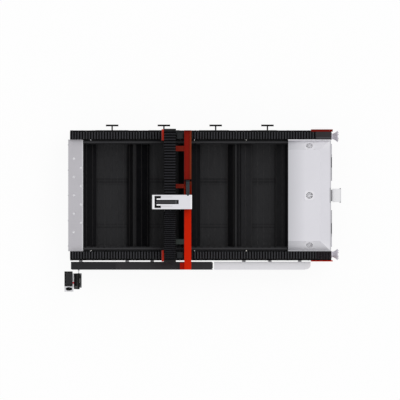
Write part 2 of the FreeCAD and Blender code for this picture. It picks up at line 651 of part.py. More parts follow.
def rail_covers():
    """Rear: a plain folded cover to the end. Front: a short pack of spare folds."""
    y0, y1 = BEAM_IN_Y + FIT, WAY_OUT_Y
    z0, z1 = BEAM_TOP_Z + BELLOWS_SEAT, BELLOWS_TOP_Z - FIT
    x0 = BELLOWS_END_X + FIT
    plain = box(x0, BEAM_RIGHT_X, y0, y1, z0, z1)
    hollow = box(x0 - 1, BEAM_RIGHT_X - RAIL_COVER_T, y0 + RAIL_COVER_T, y1 - RAIL_COVER_T, z0 - 1,
                 z1 - RAIL_COVER_T)
    folds = bellows(x0, BEAM_RIGHT_X, FOLD_COUNT_REST, y0, y1, z0, z1)
    return group([plain.cut(hollow), mirrored(folds)])


# ---- cable chain troughs along the front -----------------------------------------------
TROUGH_IN_Y = 1131.0
TROUGH_OUT_Y = 1258.0
TROUGH_LOW_Z = 600.0
TROUGH_TOP_Z = 720.0
TROUGH_T = 4.0
TROUGH_SPLIT_X = (204.0, 241.0)
TROUGH_END_GAP = 44.0       # from the left end of the bed to the trough
TROUGH_TRIM_GAP = 8.0
TROUGH_LEFT_X = TROUGH_END_GAP - BODY_HALF_X
TROUGH_RIGHT_X = TRIM_LEFT_X - TROUGH_TRIM_GAP
TROUGH_SEAM_X = (-1470.0, -1436.0)
TROUGH_SEAM_DEPTH = 2.5
TROUGH_SLOT_Z = (655.0, 690.0)
TROUGH_LEFT_ROUND = 12.0
TROUGH_RIGHT_ROUND = 75.0
BRACKET_X_LEFT = [TROUGH_LEFT_X + inset for inset in (166.0, 956.0, 1381.0)]
BRACKET_X_RIGHT = [TROUGH_RIGHT_X - inset for inset in (1134.0, 692.0, 182.0)]
BRACKET_W = 60.0
BRACKET_H = 40.0
CHAIN_FIXED_X = -87.0
CHAIN_LOOP_X = -1214.0
CHAIN_W = 56.0
CHAIN_H = 26.0
CHAIN_ARM_X = -560.0
CHAIN_ARM_W = 80.0


def rounded_block(x0, x1, inset, round_x, radius):
    """Trough block with one upright edge rounded, inset from the outer faces."""
    y0, y1 = inset - TROUGH_OUT_Y, -TROUGH_IN_Y - inset
    block = box(x0, x1, y0, y1, TROUGH_LOW_Z + inset, TROUGH_TOP_Z - inset)
    corner = V(round_x, y0, (TROUGH_LOW_Z + TROUGH_TOP_Z) / 2)
    edge = min(block.Edges, key=lambda e: e.CenterOfMass.distanceToPoint(corner))
    return block.makeFillet(radius, [edge])


def chain_trough(x0, x1, round_left, radius, brackets, seam=None):
    """Channel closed at its rounded end, with a long slot for the gantry's arm, on brackets."""
    t = TROUGH_T
    if round_left:
        closed, hollow, slot_x = x0, (x0 + t, x1 + 1), (x0 + t, x1 + 1)
    else:
        closed, hollow, slot_x = x1, (x0 - 1, x1 - t), (x0 - 1, x1 - t)
    outer = rounded_block(x0, x1, 0, closed, radius)
    inner = rounded_block(*hollow, t, closed, radius - t)
    slot = box(*slot_x, -TROUGH_IN_Y - t - 1, -TROUGH_IN_Y + 1, *TROUGH_SLOT_Z)
    cuts = [inner, slot]
    if seam:
        depth = TROUGH_TOP_Z - TROUGH_SEAM_DEPTH
        cuts.append(box(*seam, -TROUGH_OUT_Y - 1, -TROUGH_IN_Y + 1, depth, TROUGH_TOP_Z + 1))
    half, low = BRACKET_W / 2, TROUGH_LOW_Z
    arms = [box(x - half, x + half, -TROUGH_IN_Y - 1, -BEAM_OUT_Y, low, low + BRACKET_H) for x in brackets]
    return fused(outer.cut(group(cuts)), *arms)


def x_cable_chain():
    """Drag chain inside the trough: fixed low run, loop, and high run to the gantry's arm."""
    y0 = -(TROUGH_IN_Y + TROUGH_OUT_Y) / 2 - CHAIN_W / 2
    low, high = TROUGH_LOW_Z + TROUGH_T, TROUGH_TOP_Z - TROUGH_T - FIT - 2
    radius = (high - low) / 2
    middle = low + radius
    bend = rod(radius, (CHAIN_LOOP_X, y0, middle), (CHAIN_LOOP_X, y0 + CHAIN_W, middle))
    hole = rod(radius - CHAIN_H, (CHAIN_LOOP_X, y0 - 1, middle), (CHAIN_LOOP_X, y0 + CHAIN_W + 1, middle))
    lower = box(CHAIN_LOOP_X, CHAIN_FIXED_X, y0, y0 + CHAIN_W, low, low + CHAIN_H)
    upper = box(CHAIN_LOOP_X, CHAIN_ARM_X, y0, y0 + CHAIN_W, high - CHAIN_H, high)
    right = box(CHAIN_LOOP_X, CHAIN_FIXED_X, y0 - 1, y0 + CHAIN_W + 1, low, high)
    return fused(bend.cut(hole).cut(right), lower, upper)


# ---- operator's console -----------------------------------------------------------------
POST_FROM_TROUGH_END = 112.0
POST_X = TROUGH_LEFT_X + POST_FROM_TROUGH_END
POST_Y = -1457.0
POST_SIZE = 70.0
POST_TOP_Z = 990.0
POST_FOOT = (POST_X - 175.0, POST_X + 55.0, POST_Y - 123.0, POST_Y + 122.0)
POST_FOOT_T = 12.0
TRAY = (POST_X - 208.0, POST_X - 77.0, POST_Y - 78.0, POST_Y + 165.0)
TRAY_Z = 985.0
TRAY_T = 6.0
TRAY_ARM_W = 60.0
KEYBOARD_MARGIN = 7.0
KEYBOARD_T = 14.0
KEY_ROWS = 5
KEY_GAP = 3.0
KEY_H = 3.0
SHELF = (POST_X - 217.0, POST_X - 65.0, POST_Y - 177.0, POST_Y - 83.0)
SHELF_T = 4.0
MOUSE_SIZE = (110.0, 58.0, 34.0)
BUTTON_X = POST_X - 63.0
BUTTON_Y = POST_Y - 27.0
BUTTON_R = 17.0
BUTTON_STEM_R = 8.0
BUTTON_TRAVEL = 6.0
BUTTON_BASE_H = 24.0
MONITOR_W = 262.0
MONITOR_H = 300.0
MONITOR_T = 40.0
MONITOR_LEAN = 14.0
MONITOR_PIN_Z = 1060.0
MONITOR_PIN_R = 6.0
MONITOR_PIN_PLAY = 0.08
MONITOR_EAR = 10.0
MONITOR_BEZEL = 12.0
MONITOR_SETBACK = 20.0      # from the hinge pin to the back and to the foot of the case
CONDUIT_R = 9.0
CONDUIT_X = POST_X + 19.0
CONDUIT_Z = 660.0


def console_post():
    """Foot plate, square post, arm with the button's box, trays, ears and conduit."""
    half = POST_SIZE / 2
    foot = box(*POST_FOOT, 0, POST_FOOT_T)
    post = box(POST_X - half, POST_X + half, POST_Y - half, POST_Y + half, POST_FOOT_T, POST_TOP_Z)
    arm_y0, arm_y1 = BUTTON_Y - TRAY_ARM_W / 2, BUTTON_Y + TRAY_ARM_W / 2
    arm = box(TRAY[0] + 30, POST_X - half + 1, arm_y0, arm_y1, TRAY_Z - 30, TRAY_Z - TRAY_T)
    socket = box(BUTTON_X - 22, BUTTON_X + 22, arm_y0, arm_y1, TRAY_Z - TRAY_T - 1, TRAY_Z + BUTTON_BASE_H)
    socket = socket.cut(box(TRAY[0], TRAY[1] + FIT, arm_y0 - 1, arm_y1 + 1, TRAY_Z - TRAY_T, TRAY_Z + 99))
    bore = rod(BUTTON_STEM_R + 0.2, (BUTTON_X, BUTTON_Y, TRAY_Z), (BUTTON_X, BUTTON_Y, TRAY_Z + 99))
    shelf_arm = box(SHELF[0] + 40, SHELF[0] + 70, SHELF[2] + 20, arm_y0 + 1, TRAY_Z - 30, TRAY_Z - TRAY_T)
    ear = box(POST_X - 12, POST_X + 12, POST_Y - MONITOR_EAR / 2, POST_Y + MONITOR_EAR / 2,
              POST_TOP_Z - 1, MONITOR_PIN_Z + 12)
    ears = [ear.translated(V(0, side * (half - MONITOR_EAR / 2), 0)) for side in (-1, 1)]
    reach = half + 2 * MONITOR_EAR
    pin = rod(MONITOR_PIN_R, (POST_X, POST_Y - reach, MONITOR_PIN_Z), (POST_X, POST_Y + reach, MONITOR_PIN_Z))
    return fused(foot, post, arm, socket, shelf_arm, keyboard_tray(), mouse_shelf(), *ears, pin,
                 console_conduit()).cut(bore)


def stop_button():
    """Mushroom head on a stem that slides down in its box."""
    seat = TRAY_Z + BUTTON_BASE_H
    rise, stem, full = BUTTON_TRAVEL, BUTTON_STEM_R, BUTTON_R
    outline = [
        (0, -14), (stem, -14), (stem, rise + 1), (full - 2, rise + 1), (full, rise + 4),
        (full * 0.8, rise + 13), (full * 0.4, rise + 16), (0, rise + 16),
    ]
    return turned(outline, (BUTTON_X, BUTTON_Y, seat))


def keyboard_tray():
    x0, x1, y0, y1 = TRAY
    tray = box(x0, x1, y0, y1, TRAY_Z - TRAY_T, TRAY_Z + 8)
    well = box(x0 + TRAY_T - 3, x1 - TRAY_T + 3, y0 + 3, y1 - 3, TRAY_Z, TRAY_Z + 9)
    return tray.cut(well)


def keyboard():
    """Low board with rows of keys as bars, one column of keys apart."""
    m = KEYBOARD_MARGIN
    x0, x1, y0, y1 = TRAY[0] + m, TRAY[1] - m, TRAY[2] + m, TRAY[3] - m
    top = TRAY_Z + KEYBOARD_T
    board = box(x0, x1, y0, y1, TRAY_Z, top)
    pitch = (x1 - x0 - KEY_GAP) / KEY_ROWS
    split = y1 - pitch * 2
    keys = []
    for i in range(KEY_ROWS):
        left = x0 + KEY_GAP + pitch * i
        right = left + pitch - KEY_GAP
        keys.append(box(left, right, y0 + KEY_GAP, split - KEY_GAP, top - 1, top + KEY_H))
        keys.append(box(left, right, split, y1 - KEY_GAP, top - 1, top + KEY_H))
    return fused(board, *keys)


def mouse_shelf():
    """Bare metal tray with its edge turned up on three sides."""
    x0, x1, y0, y1 = SHELF
    shelf = box(x0, x1, y0, y1, TRAY_Z - TRAY_T, TRAY_Z + 6)
    well = box(x0 + 2, x1 - 2, y0 + 2, y1 + 1, TRAY_Z - TRAY_T + SHELF_T, TRAY_Z + 7)
    return shelf.cut(well)


def mouse():
    """Low domed body, higher at the palm than at the buttons."""
    length, width, height = MOUSE_SIZE
    x0 = (SHELF[0] + SHELF[1]) / 2 - length / 2
    y0 = (SHELF[2] + SHELF[3]) / 2 - width / 2
    z0 = TRAY_Z - TRAY_T + SHELF_T
    side = [(0, 0), (length, 0), (length, height * 0.3), (length * 0.75, height * 0.7)]
    side += [(length * 0.4, height), (length * 0.12, height * 0.75), (0, height * 0.35)]
    body = prism([(x0 + x, y0, z0 + z) for x, z in side], (0, width, 0))
    end = [(0, 0), (width, 0), (width, height * 0.55), (width * 0.78, height + 1), (width * 0.22, height + 1)]
    end.append((0, height * 0.55))
    return body.common(prism([(x0 - 1, y0 + y, z0 + z) for y, z in end], (length + 2, 0, 0)))


def monitor():
    """Flat panel with a raised bezel, on two hinge lugs; leans back from upright."""
    half_w, ear = MONITOR_W / 2, MONITOR_EAR
    front, low = -MONITOR_T - MONITOR_SETBACK, MONITOR_SETBACK
    high = low + MONITOR_H
    case = box(front, front + MONITOR_T, -half_w, half_w, low, high)
    screen = box(front - 1, front + 3, MONITOR_BEZEL - half_w, half_w - MONITOR_BEZEL, low + MONITOR_BEZEL,
                 high - MONITOR_BEZEL)
    case = case.cut(screen)
    lugs = []
    for side in (-1, 1):
        inner = side * (POST_SIZE / 2 + FIT)
        y0, y1 = sorted((inner, inner + side * ear))
        lugs.append(box(front + MONITOR_T - 1, MONITOR_EAR + 4, y0, y1, -MONITOR_EAR - 4, 60))
    bore = rod(MONITOR_PIN_R + MONITOR_PIN_PLAY, (0, -half_w, 0), (0, half_w, 0))
    whole = fused(case, *lugs).cut(bore)
    whole = whole.rotated(V(0, 0, 0), V(0, 1, 0), MONITOR_LEAN)
    return whole.translated(V(POST_X, POST_Y, MONITOR_PIN_Z))


def console_conduit():
    """Thin rigid conduit from the trough to the post, with a collar at the trough."""
    start = (CONDUIT_X, -TROUGH_OUT_Y, CONDUIT_Z)
    end = (CONDUIT_X, POST_Y + POST_SIZE / 2, CONDUIT_Z)
    collar = rod(CONDUIT_R * 1.7, start, (CONDUIT_X, -TROUGH_OUT_Y - 25, CONDUIT_Z))
    return fused(rod(CONDUIT_R, start, end), collar)


# ---- gantry -----------------------------------------------------------------------------
BEAM_X = (-606.0, -430.0)
TOP_WAY_X = (-612.0, -408.0)    # way cover over the beam and its rack
BEAM_Z = (960.0, 1160.0)
BEAM_HALF_Y = 1092.0
GANTRY_WALL = 8.0
CAP_T = 37.0
CAP_Z = (940.0, 1262.0)
FLANGE_X = (-654.0, -613.0)
FLANGE_Y = (934.0, 1124.0)
FLANGE_Z = (786.0, 906.0)
TUNNEL_Y = (957.0, 1088.0)
TUNNEL_Z = 862.0
FLANGE_RIGHT_X = (-136.0, -127.0)
FLANGE_RIGHT_Y = (952.0, 1100.0)
CARRIAGE_PLATE_Z = (830.0, 855.0)
CARRIAGE_PLATE_Y = (956.0, 1092.0)
BLOCK_LENGTH = 110.0
BLOCK_W = 60.0
BLOCK_LOW_Z = 787.0
BLOCK_X = (-545.0, -195.0)
BLOCK_PLAY = 0.3
GUSSET_REACH = 16.0
MOTOR_X = -340.0
MOTOR_SIZE = 99.0
MOTOR_TOP_Z = 1008.0
PINION_T = 16.0
PINION_LOW_Z = 782.0
SHAFT_R = 9.0
SHAFT_PLAY = 0.08
Y_RAIL_X = (-576.0, -460.0)
Y_RAIL_W = 20.0
Y_RAIL_H = 20.0
Y_RACK_Z = (1128.0, 1150.0)
Y_RACK_T = 18.0
Y_RACK_HALF = 1010.0
Y_BELLOWS_TOP_Z = 1262.0
FOLD_COUNT_TOP = 23
CHANNEL_X = (-267.0, -148.0)
CHANNEL_Y = (-1260.0, 1105.0)
CHANNEL_Z = (1010.0, 1090.0)
CHANNEL_T = 4.0
LID_END_Y = -150.0
LID_T = 3.0
ARM_PLACES = ((795.0, 89.0), (158.0, 71.0))
ARM_Z = (1030.0, 1075.0)
STAY_X = -340.0
STAY_Y = -1141.0
SENSOR_Y = (-830.0, -741.0)
Y_CHAIN_W = 66.0
Y_CHAIN_H = 26.0
Y_CHAIN_LOW_Z = 1014.0
Y_CHAIN_TOP_Z = 1124.0
Y_CHAIN_FIXED_Y = -140.0
Y_CHAIN_LOOP_Y = 205.0
Y_CHAIN_END_Y = -229.0
Y_CHAIN_CLAMP = 40.0
LINK_PITCH = 45.0
LINK_GAP = 6.0
LINK_WAIST = 5.0


def x_bellows(start, end, folds):
    y0, y1 = BEAM_IN_Y + FIT, WAY_OUT_Y
    return pair(bellows(start, end, folds, y0, y1, BEAM_TOP_Z + BELLOWS_SEAT, BELLOWS_TOP_Z))


def y_bellows():
    """Way covers along the top of the gantry beam, one on each side of the head."""
    low = BEAM_Z[1] + BELLOWS_SEAT
    front, rear = head_y(COVER_HALF_Y + FIT)
    covers = []
    for start, end in ((-BEAM_HALF_Y, front), (rear, BEAM_HALF_Y)):
        cover = bellows(start, end, FOLD_COUNT_TOP, -TOP_WAY_X[1], -TOP_WAY_X[0], low, Y_BELLOWS_TOP_Z)
        covers.append(cover.rotated(V(0, 0, 0), V(0, 0, 1), 90))
    return group(covers)


def gantry_carriages():
    """End castings: foot plate, four guide blocks on the rails, and the beam's upright."""
    y0, y1 = CARRIAGE_PLATE_Y
    low, high = CARRIAGE_PLATE_Z
    plate = box(FLANGE_X[1], FLANGE_RIGHT_X[0], y0, y1, low, high)
    upright = box(*BEAM_X, y0 + 4, y1, high - 1, BEAM_Z[0])
    rib = [(BEAM_X[1] - 1, y0 + 20, high - 1), (BEAM_X[1] + GUSSET_REACH, y0 + 20, high - 1)]
    rib.append((BEAM_X[1] - 1, y0 + 20, BEAM_Z[0] - 10))
    gusset = prism(rib, (0, 16, 0))
    far = gusset.translated(V(0, y1 - y0 - 56, 0))
    blocks = []
    for x in BLOCK_X:
        x0, x1 = x - BLOCK_LENGTH / 2, x + BLOCK_LENGTH / 2
        half = RAIL_W / 2 + BLOCK_PLAY
        block = box(x0, x1, RAIL_Y - BLOCK_W / 2, RAIL_Y + BLOCK_W / 2, BLOCK_LOW_Z, low + 1)
        groove = box(x0 - 1, x1 + 1, RAIL_Y - half, RAIL_Y + half, 0, BEAM_TOP_Z + RAIL_H + BLOCK_PLAY)
        blocks.append(block.cut(groove))
    bore = rod(SHAFT_R + SHAFT_PLAY, (MOTOR_X, PINION_Y, low - 1), (MOTOR_X, PINION_Y, high + 1))
    return pair(fused(plate, upright, gusset, far, *blocks).cut(bore))


def bellows_flanges():
    """Arched end plates over the guides, where the way covers are fastened."""
    arch = box(*FLANGE_X, *FLANGE_Y, *FLANGE_Z)
    tunnel = box(FLANGE_X[0] - 1, FLANGE_X[1] + 1, *TUNNEL_Y, 0, TUNNEL_Z)
    thin = box(*FLANGE_RIGHT_X, *FLANGE_RIGHT_Y, *FLANGE_Z)
    passage = box(FLANGE_RIGHT_X[0] - 1, FLANGE_RIGHT_X[1] + 1, *TUNNEL_Y, 0, TUNNEL_Z)
    left, right = arch.cut(tunnel), thin.cut(passage)
    return group([left, mirrored(left), right, mirrored(right)])


def servo(x, y, z0, z1, size):
    """Motor body with chamfered corners, a flange at its foot and a connector stub."""
    half, cut = size / 2, size * 0.12
    corners = []
    for sx, sy, turn in ((1, 1, 0), (-1, 1, 1), (-1, -1, 0), (1, -1, 1)):
        a, b = (x + sx * half, y + sy * (half - cut)), (x + sx * (half - cut), y + sy * half)
        corners += [b, a] if turn else [a, b]
    body = prism([(px, py, z0) for px, py in corners], (0, 0, z1 - z0))
    flange = box(x - half, x + half, y - half, y + half, z0, z0 + 12)
    stub = rod(size * 0.14, (x, y, z1 - 22), (x, y - half - 12, z1 - 22))
    return fused(body, flange, stub)


def pinion(x, y, low, face, top):
    """Drive wheel at its pitch radius, on a shaft in the carriage's bore."""
    outline = [(0, low), (PINION_R, low), (PINION_R, low + face), (SHAFT_R, low + face)]
    outline += [(SHAFT_R, top), (0, top)]
    return turned(outline, (x, y, 0))


def x_pinion(side):
    return pinion(MOTOR_X, side * PINION_Y, PINION_LOW_Z, PINION_T, CARRIAGE_PLATE_Z[1] - FIT)


def x_servo_motors():
    return pair(servo(MOTOR_X, PINION_Y, CARRIAGE_PLATE_Z[1], MOTOR_TOP_Z, MOTOR_SIZE))


def gantry_beam():
    """Box beam with two guide rails on top and a rack bar on its right face."""
    y = BEAM_HALF_Y
    outer = box(*BEAM_X, -y, y, *BEAM_Z)
    w = GANTRY_WALL
    inner = box(BEAM_X[0] + w, BEAM_X[1] - w, -y - 1, y + 1, BEAM_Z[0] + w, BEAM_Z[1] - w)
    half, top = Y_RAIL_W / 2, BEAM_Z[1]
    rails = [box(x - half, x + half, -y, y, top - 1, top + Y_RAIL_H) for x in Y_RAIL_X]
    rack = box(BEAM_X[1] - 1, BEAM_X[1] + Y_RACK_T, -Y_RACK_HALF, Y_RACK_HALF, *Y_RACK_Z)
    return fused(outer.cut(inner), *rails, rack)


def beam_end_caps():
    """Moulded caps with a sloped outer face, closing the beam and its way cover."""
    y0, y1 = BEAM_HALF_Y, BEAM_HALF_Y + CAP_T
    low, high = CAP_Z
    left, right = TOP_WAY_X
    side = [(left, y0, low), (left, y1 - 12, low), (left, y1, low + 12)]
    side += [(left, y1, high - 20), (left, y1 - 20, high), (left, y0, high)]
    return pair(prism(side, (right - left, 0, 0)))


def gantry_channel():
    """Cable channel along the gantry: open behind, lidded in front, on arms from the beam."""
    x0, x1 = CHANNEL_X
    y0, y1 = CHANNEL_Y
    low, high = CHANNEL_Z
    t = CHANNEL_T
    channel = box(x0, x1, y0, y1, low, high).cut(box(x0 + t, x1 - t, y0 + t, y1 - t, low + t, high + 1))
    lid = box(x0, x1, y0, LID_END_Y, high, high + LID_T)
    arms = []
    for y, width in ARM_PLACES:
        arms.append(box(BEAM_X[1], x0 + 1, y - width / 2, y + width / 2, *ARM_Z))
    stay = box(STAY_X, x0 + 1, y0, STAY_Y, low, high - 20)
    return fused(channel, lid, stay, *arms)


def sensor_box():
    return box(BEAM_X[1], CHANNEL_X[0], *SENSOR_Y, ARM_Z[0], ARM_Z[1] + 8)


def chain_links(start, end, low, width, height, x):
    """A straight run of links along Y: each one waisted where it meets the next."""
    count = max(1, int((end - start) / LINK_PITCH + 0.5))
    step = (end - start) / count
    pieces = [box(x - width / 2 + LINK_WAIST, x + width / 2 - LINK_WAIST, start, end, low, low + height)]
    for i in range(count):
        y0 = start + step * i + LINK_GAP / 2
        pieces.append(box(x - width / 2, x + width / 2, y0, y0 + step - LINK_GAP, low, low + height))
    return pieces


def y_cable_chain():
    """Drag chain of the head: low run in the channel, loop, and high run to the carriage."""
    x = (CHANNEL_X[0] + CHANNEL_X[1]) / 2
    x0, x1 = x - Y_CHAIN_W / 2, x + Y_CHAIN_W / 2
    radius = (Y_CHAIN_TOP_Z - Y_CHAIN_LOW_Z) / 2
    middle = Y_CHAIN_LOW_Z + radius
    bend = rod(radius, (x0 + LINK_WAIST, Y_CHAIN_LOOP_Y, middle), (x1 - LINK_WAIST, Y_CHAIN_LOOP_Y, middle))
    hole = rod(radius - Y_CHAIN_H, (x0 - 1, Y_CHAIN_LOOP_Y, middle), (x1 + 1, Y_CHAIN_LOOP_Y, middle))
    behind = box(x0 - 1, x1 + 1, Y_CHAIN_FIXED_Y, Y_CHAIN_LOOP_Y, Y_CHAIN_LOW_Z, Y_CHAIN_TOP_Z)
    lower = chain_links(Y_CHAIN_FIXED_Y, Y_CHAIN_LOOP_Y, Y_CHAIN_LOW_Z, Y_CHAIN_W, Y_CHAIN_H, x)
    upper = chain_links(Y_CHAIN_END_Y, Y_CHAIN_LOOP_Y, Y_CHAIN_TOP_Z - Y_CHAIN_H, Y_CHAIN_W, Y_CHAIN_H, x)
    return fused(bend.cut(hole).cut(behind), *lower, *upper)


def x_chain_arm():
    """Bent arm from the front casting, down beside the beam and through the trough's slot."""
    x0, x1 = CHAIN_ARM_X - CHAIN_ARM_W / 2, CHAIN_ARM_X + CHAIN_ARM_W / 2
    front, back = -TROUGH_IN_Y + 7, -BEAM_OUT_Y - 5
    low, high = TROUGH_SLOT_Z[0] + 5, CARRIAGE_PLATE_Z[1] - 2
    head = box(x0, x1, front, -CARRIAGE_PLATE_Y[1], high - 20, high)
    leg = box(x0, x1, front, back, low, high)
    seat_z = TROUGH_TOP_Z - TROUGH_T - 2 - FIT - CHAIN_H - FIT
    tongue = box(x0, x1, -(TROUGH_IN_Y + TROUGH_OUT_Y) / 2, back, low, seat_z)
    return fused(head, leg, tongue)


# ---- head carriage ----------------------------------------------------------------------
HEAD_Y = -112.0
COVER_X = (-809.0, -136.0)
COVER_HALF_Y = 120.5
COVER_Z = (1000.0, 1500.0)
COVER_STEP_Z = 1186.0
COVER_SHEET = 3.0
COVER_EDGE = 14.0
SLOT_X = (-736.0, -360.0)
SLOT_HALF_Y = 36.0
BRACKET_SLOT_X = (-768.0, -732.0)
BRACKET_ARM_X = -663.0
BRACKET_SLOT_HALF_Y = 96.0
BRACKET_ARM_W = 36.0
HEAD_PLATE_Z = (1190.0, 1215.0)
COLUMN_X = (-640.0, -625.0)
COLUMN_HALF_Y = 95.0
COLUMN_Z = (1010.0, 1400.0)
Z_RAIL_Y = 65.0
Z_RAIL_W = 20.0
Z_RAIL_T = 12.0
Z_PLATE_X = (-672.0, -656.0)
Z_PLATE_Z = (1040.0, 1240.0)
Z_BLOCK_H = 50.0
NUT_HALF_Y = 18.0
NUT_Z = (1100.0, 1150.0)
CLAMP_HALF_Y = 30.0
SCREW_X = -649.0
SCREW_R = 6.0
SCREW_PLAY = 0.08
SCREW_Z = (1030.0, 1398.0)
SHELF_Z = (1390.0, 1400.0)
Z_MOTOR_X = -660.0
Z_MOTOR_SIZE = 76.0
Z_MOTOR_TOP_Z = 1478.0
HEAD_X = -724.0
HEAD_R = 38.0
TIP_Z = 850.0
HEAD_H = 410.0
Y_PINION_X = BEAM_X[1] + Y_RACK_T + PINION_PLAY + PINION_R
Y_MOTOR_SIZE = 80.0
Y_MOTOR_TOP_Z = 1350.0
CORE_X = (-724.0, -364.0)
CORE_HALF_Y = 20.0
CORE_CAP = 68.0


def head_y(half):
    return HEAD_Y - half, HEAD_Y + half


def y_carriage():
    """Plate on four blocks over the beam, chain bracket, upright column with rails and a shelf."""
    low, high = HEAD_PLATE_Z
    inner = COVER_HALF_Y - COVER_SHEET
    plate = box(COLUMN_X[1] - 1, CHANNEL_X[0] + 100, *head_y(inner), low, high)
    groove, groove_z = Y_RAIL_W / 2 + BLOCK_PLAY, BEAM_Z[1] + Y_RAIL_H + BLOCK_PLAY
    blocks = []
    for x in Y_RAIL_X:
        for y in head_y(inner - 45):
            block = box(x - 24, x + 24, y - 40, y + 40, BEAM_Z[1] + 4, low + 1)
            blocks.append(block.cut(box(x - groove, x + groove, y - 41, y + 41, 0, groove_z)))
    chain_x = (CHANNEL_X[0] + CHANNEL_X[1]) / 2
    clamp = Y_CHAIN_END_Y + Y_CHAIN_CLAMP
    bracket = box(chain_x - 30, chain_x + 30, Y_CHAIN_END_Y, clamp, Y_CHAIN_TOP_Z + FIT, low + 1)
    column = box(*COLUMN_X, *head_y(COLUMN_HALF_Y), *COLUMN_Z)
    rails = []
    for side in (-1, 1):
        y = HEAD_Y + side * Z_RAIL_Y
        half, x = Z_RAIL_W / 2, COLUMN_X[0]
        rails.append(box(x - Z_RAIL_T, x + 1, y - half, y + half, COLUMN_Z[0], SHELF_Z[0]))
    shelf = box(Z_MOTOR_X - Z_MOTOR_SIZE / 2, COLUMN_X[0] + 1, *head_y(Z_MOTOR_SIZE / 2), *SHELF_Z)
    bores = [rod(SHAFT_R + SHAFT_PLAY, (Y_PINION_X, HEAD_Y, low - 1), (Y_PINION_X, HEAD_Y, high + 1)),
             rod(SCREW_R + SCREW_PLAY, (SCREW_X, HEAD_Y, SHELF_Z[0] - 1), (SCREW_X, HEAD_Y, SHELF_Z[1] + 1))]
    return fused(plate, *blocks, bracket, column, *rails, shelf).cut(group(bores))


def y_pinion():
    low = Y_RACK_Z[0]
    return pinion(Y_PINION_X, HEAD_Y, low, Y_RACK_Z[1] - low - 2, HEAD_PLATE_Z[1] - FIT)


def head_servo_motors():
    """The crosswise drive's motor on the plate, and the lift motor on the shelf."""
    crosswise = servo(Y_PINION_X, HEAD_Y, HEAD_PLATE_Z[1], Y_MOTOR_TOP_Z, Y_MOTOR_SIZE)
    return group([crosswise, servo(Z_MOTOR_X, HEAD_Y, SHELF_Z[1], Z_MOTOR_TOP_Z, Z_MOTOR_SIZE)])


def z_screw():
    """Lead screw from the shelf down between the rails."""
    return rod(SCREW_R, (SCREW_X, HEAD_Y, SCREW_Z[0]), (SCREW_X, HEAD_Y, SCREW_Z[1]))


def z_slide():
    """Plate with four guide blocks and the nut, moving up and down the column."""
    half = Z_RAIL_Y + Z_RAIL_W / 2 + 14
    plate = box(*Z_PLATE_X, *head_y(half), *Z_PLATE_Z)
    x0, x1 = Z_PLATE_X[1] - 1, COLUMN_X[0] - 1
    blocks = []
    for side in (-1, 1):
        y = HEAD_Y + side * Z_RAIL_Y
        for z in (Z_PLATE_Z[0], Z_PLATE_Z[1] - Z_BLOCK_H):
            reach, groove = Z_RAIL_W / 2 + 10, Z_RAIL_W / 2 + BLOCK_PLAY
            block = box(x0, x1, y - reach, y + reach, z, z + Z_BLOCK_H)
            rail = box(COLUMN_X[0] - Z_RAIL_T - BLOCK_PLAY, 0, y - groove, y + groove, z - 1,
                       z + Z_BLOCK_H + 1)
            blocks.append(block.cut(rail))
    nut = box(x0, x1, *head_y(NUT_HALF_Y), *NUT_Z)
    bore = rod(SCREW_R + SCREW_PLAY, (SCREW_X, HEAD_Y, Z_PLATE_Z[0] - 1), (SCREW_X, HEAD_Y, Z_PLATE_Z[1] + 1))
    return fused(plate, *blocks, nut).cut(bore)


def cutting_head():
    """Laser head: collimator, focus body, ring and nozzle on one axis, clamped to the slide."""
    tip = TIP_Z
    outline = [
        (0, tip), (3, tip), (12, tip + 16), (12, tip + 24), (22, tip + 24), (25, tip + 34), (25, tip + 50),
        (31, tip + 62), (31, tip + 150), (HEAD_R, tip + 160), (HEAD_R, tip + 330), (26, tip + 345),
        (26, tip + HEAD_H - 10), (14, tip + HEAD_H), (0, tip + HEAD_H),
    ]
    body = turned(outline, (HEAD_X, HEAD_Y, 0))
    clamp = box(HEAD_X, Z_PLATE_X[0], *head_y(CLAMP_HALF_Y), Z_PLATE_Z[0] + 20, Z_PLATE_Z[1] - 60)
    return fused(body, clamp)


def cover_block(inset, drop):
    """The head cover's outline from the side, stepped over the beam, as a solid block."""
    left, right, high = COVER_X[0] + inset, COVER_X[1] - inset, COVER_Z[1] - inset
    edge = COVER_EDGE - inset * 0.6
    bottom, step_z, step_x = COVER_Z[0] - drop, COVER_STEP_Z - drop, TOP_WAY_X[0] - 8 - inset
    side = [(left, bottom), (left, high - edge), (left + edge, high), (right - edge, high)]
    side += [(right, high - edge), (right, step_z), (step_x, step_z), (step_x, bottom)]
    y0, y1 = head_y(COVER_HALF_Y - inset)
    return prism([(x, y0, z) for x, z in side], (0, y1 - y0, 0))


def head_cover():
    """Folded cover, deep on the head's side, with a slot and a bracket-shaped opening on top."""
    outer, inner = cover_block(0, 0), cover_block(COVER_SHEET, 1)
    z0, z1 = COVER_Z[1] - COVER_SHEET - 1, COVER_Z[1] + 1
    cuts = [inner, box(*SLOT_X, *head_y(SLOT_HALF_Y), z0, z1)]
    cuts.append(box(*BRACKET_SLOT_X, *head_y(BRACKET_SLOT_HALF_Y), z0, z1))
    for side in (-1, 1):
        y = HEAD_Y + side * (BRACKET_SLOT_HALF_Y - BRACKET_ARM_W / 2)
        half = BRACKET_ARM_W / 2
        cuts.append(box(BRACKET_SLOT_X[0], BRACKET_ARM_X, y - half, y + half, z0, z1))
    return outer.cut(group(cuts))


def head_manifold():
    """Gas and signal bar under the slot, with a wider end cap."""
    z0, z1 = Z_MOTOR_TOP_Z, COVER_Z[1] - COVER_SHEET - FIT
    bar = box(*CORE_X, *head_y(CORE_HALF_Y), z0, z1)
    cap = box(CORE_X[1] - CORE_CAP, CORE_X[1], *head_y(SLOT_HALF_Y - 2), z0, z1)
    return fused(bar, cap)


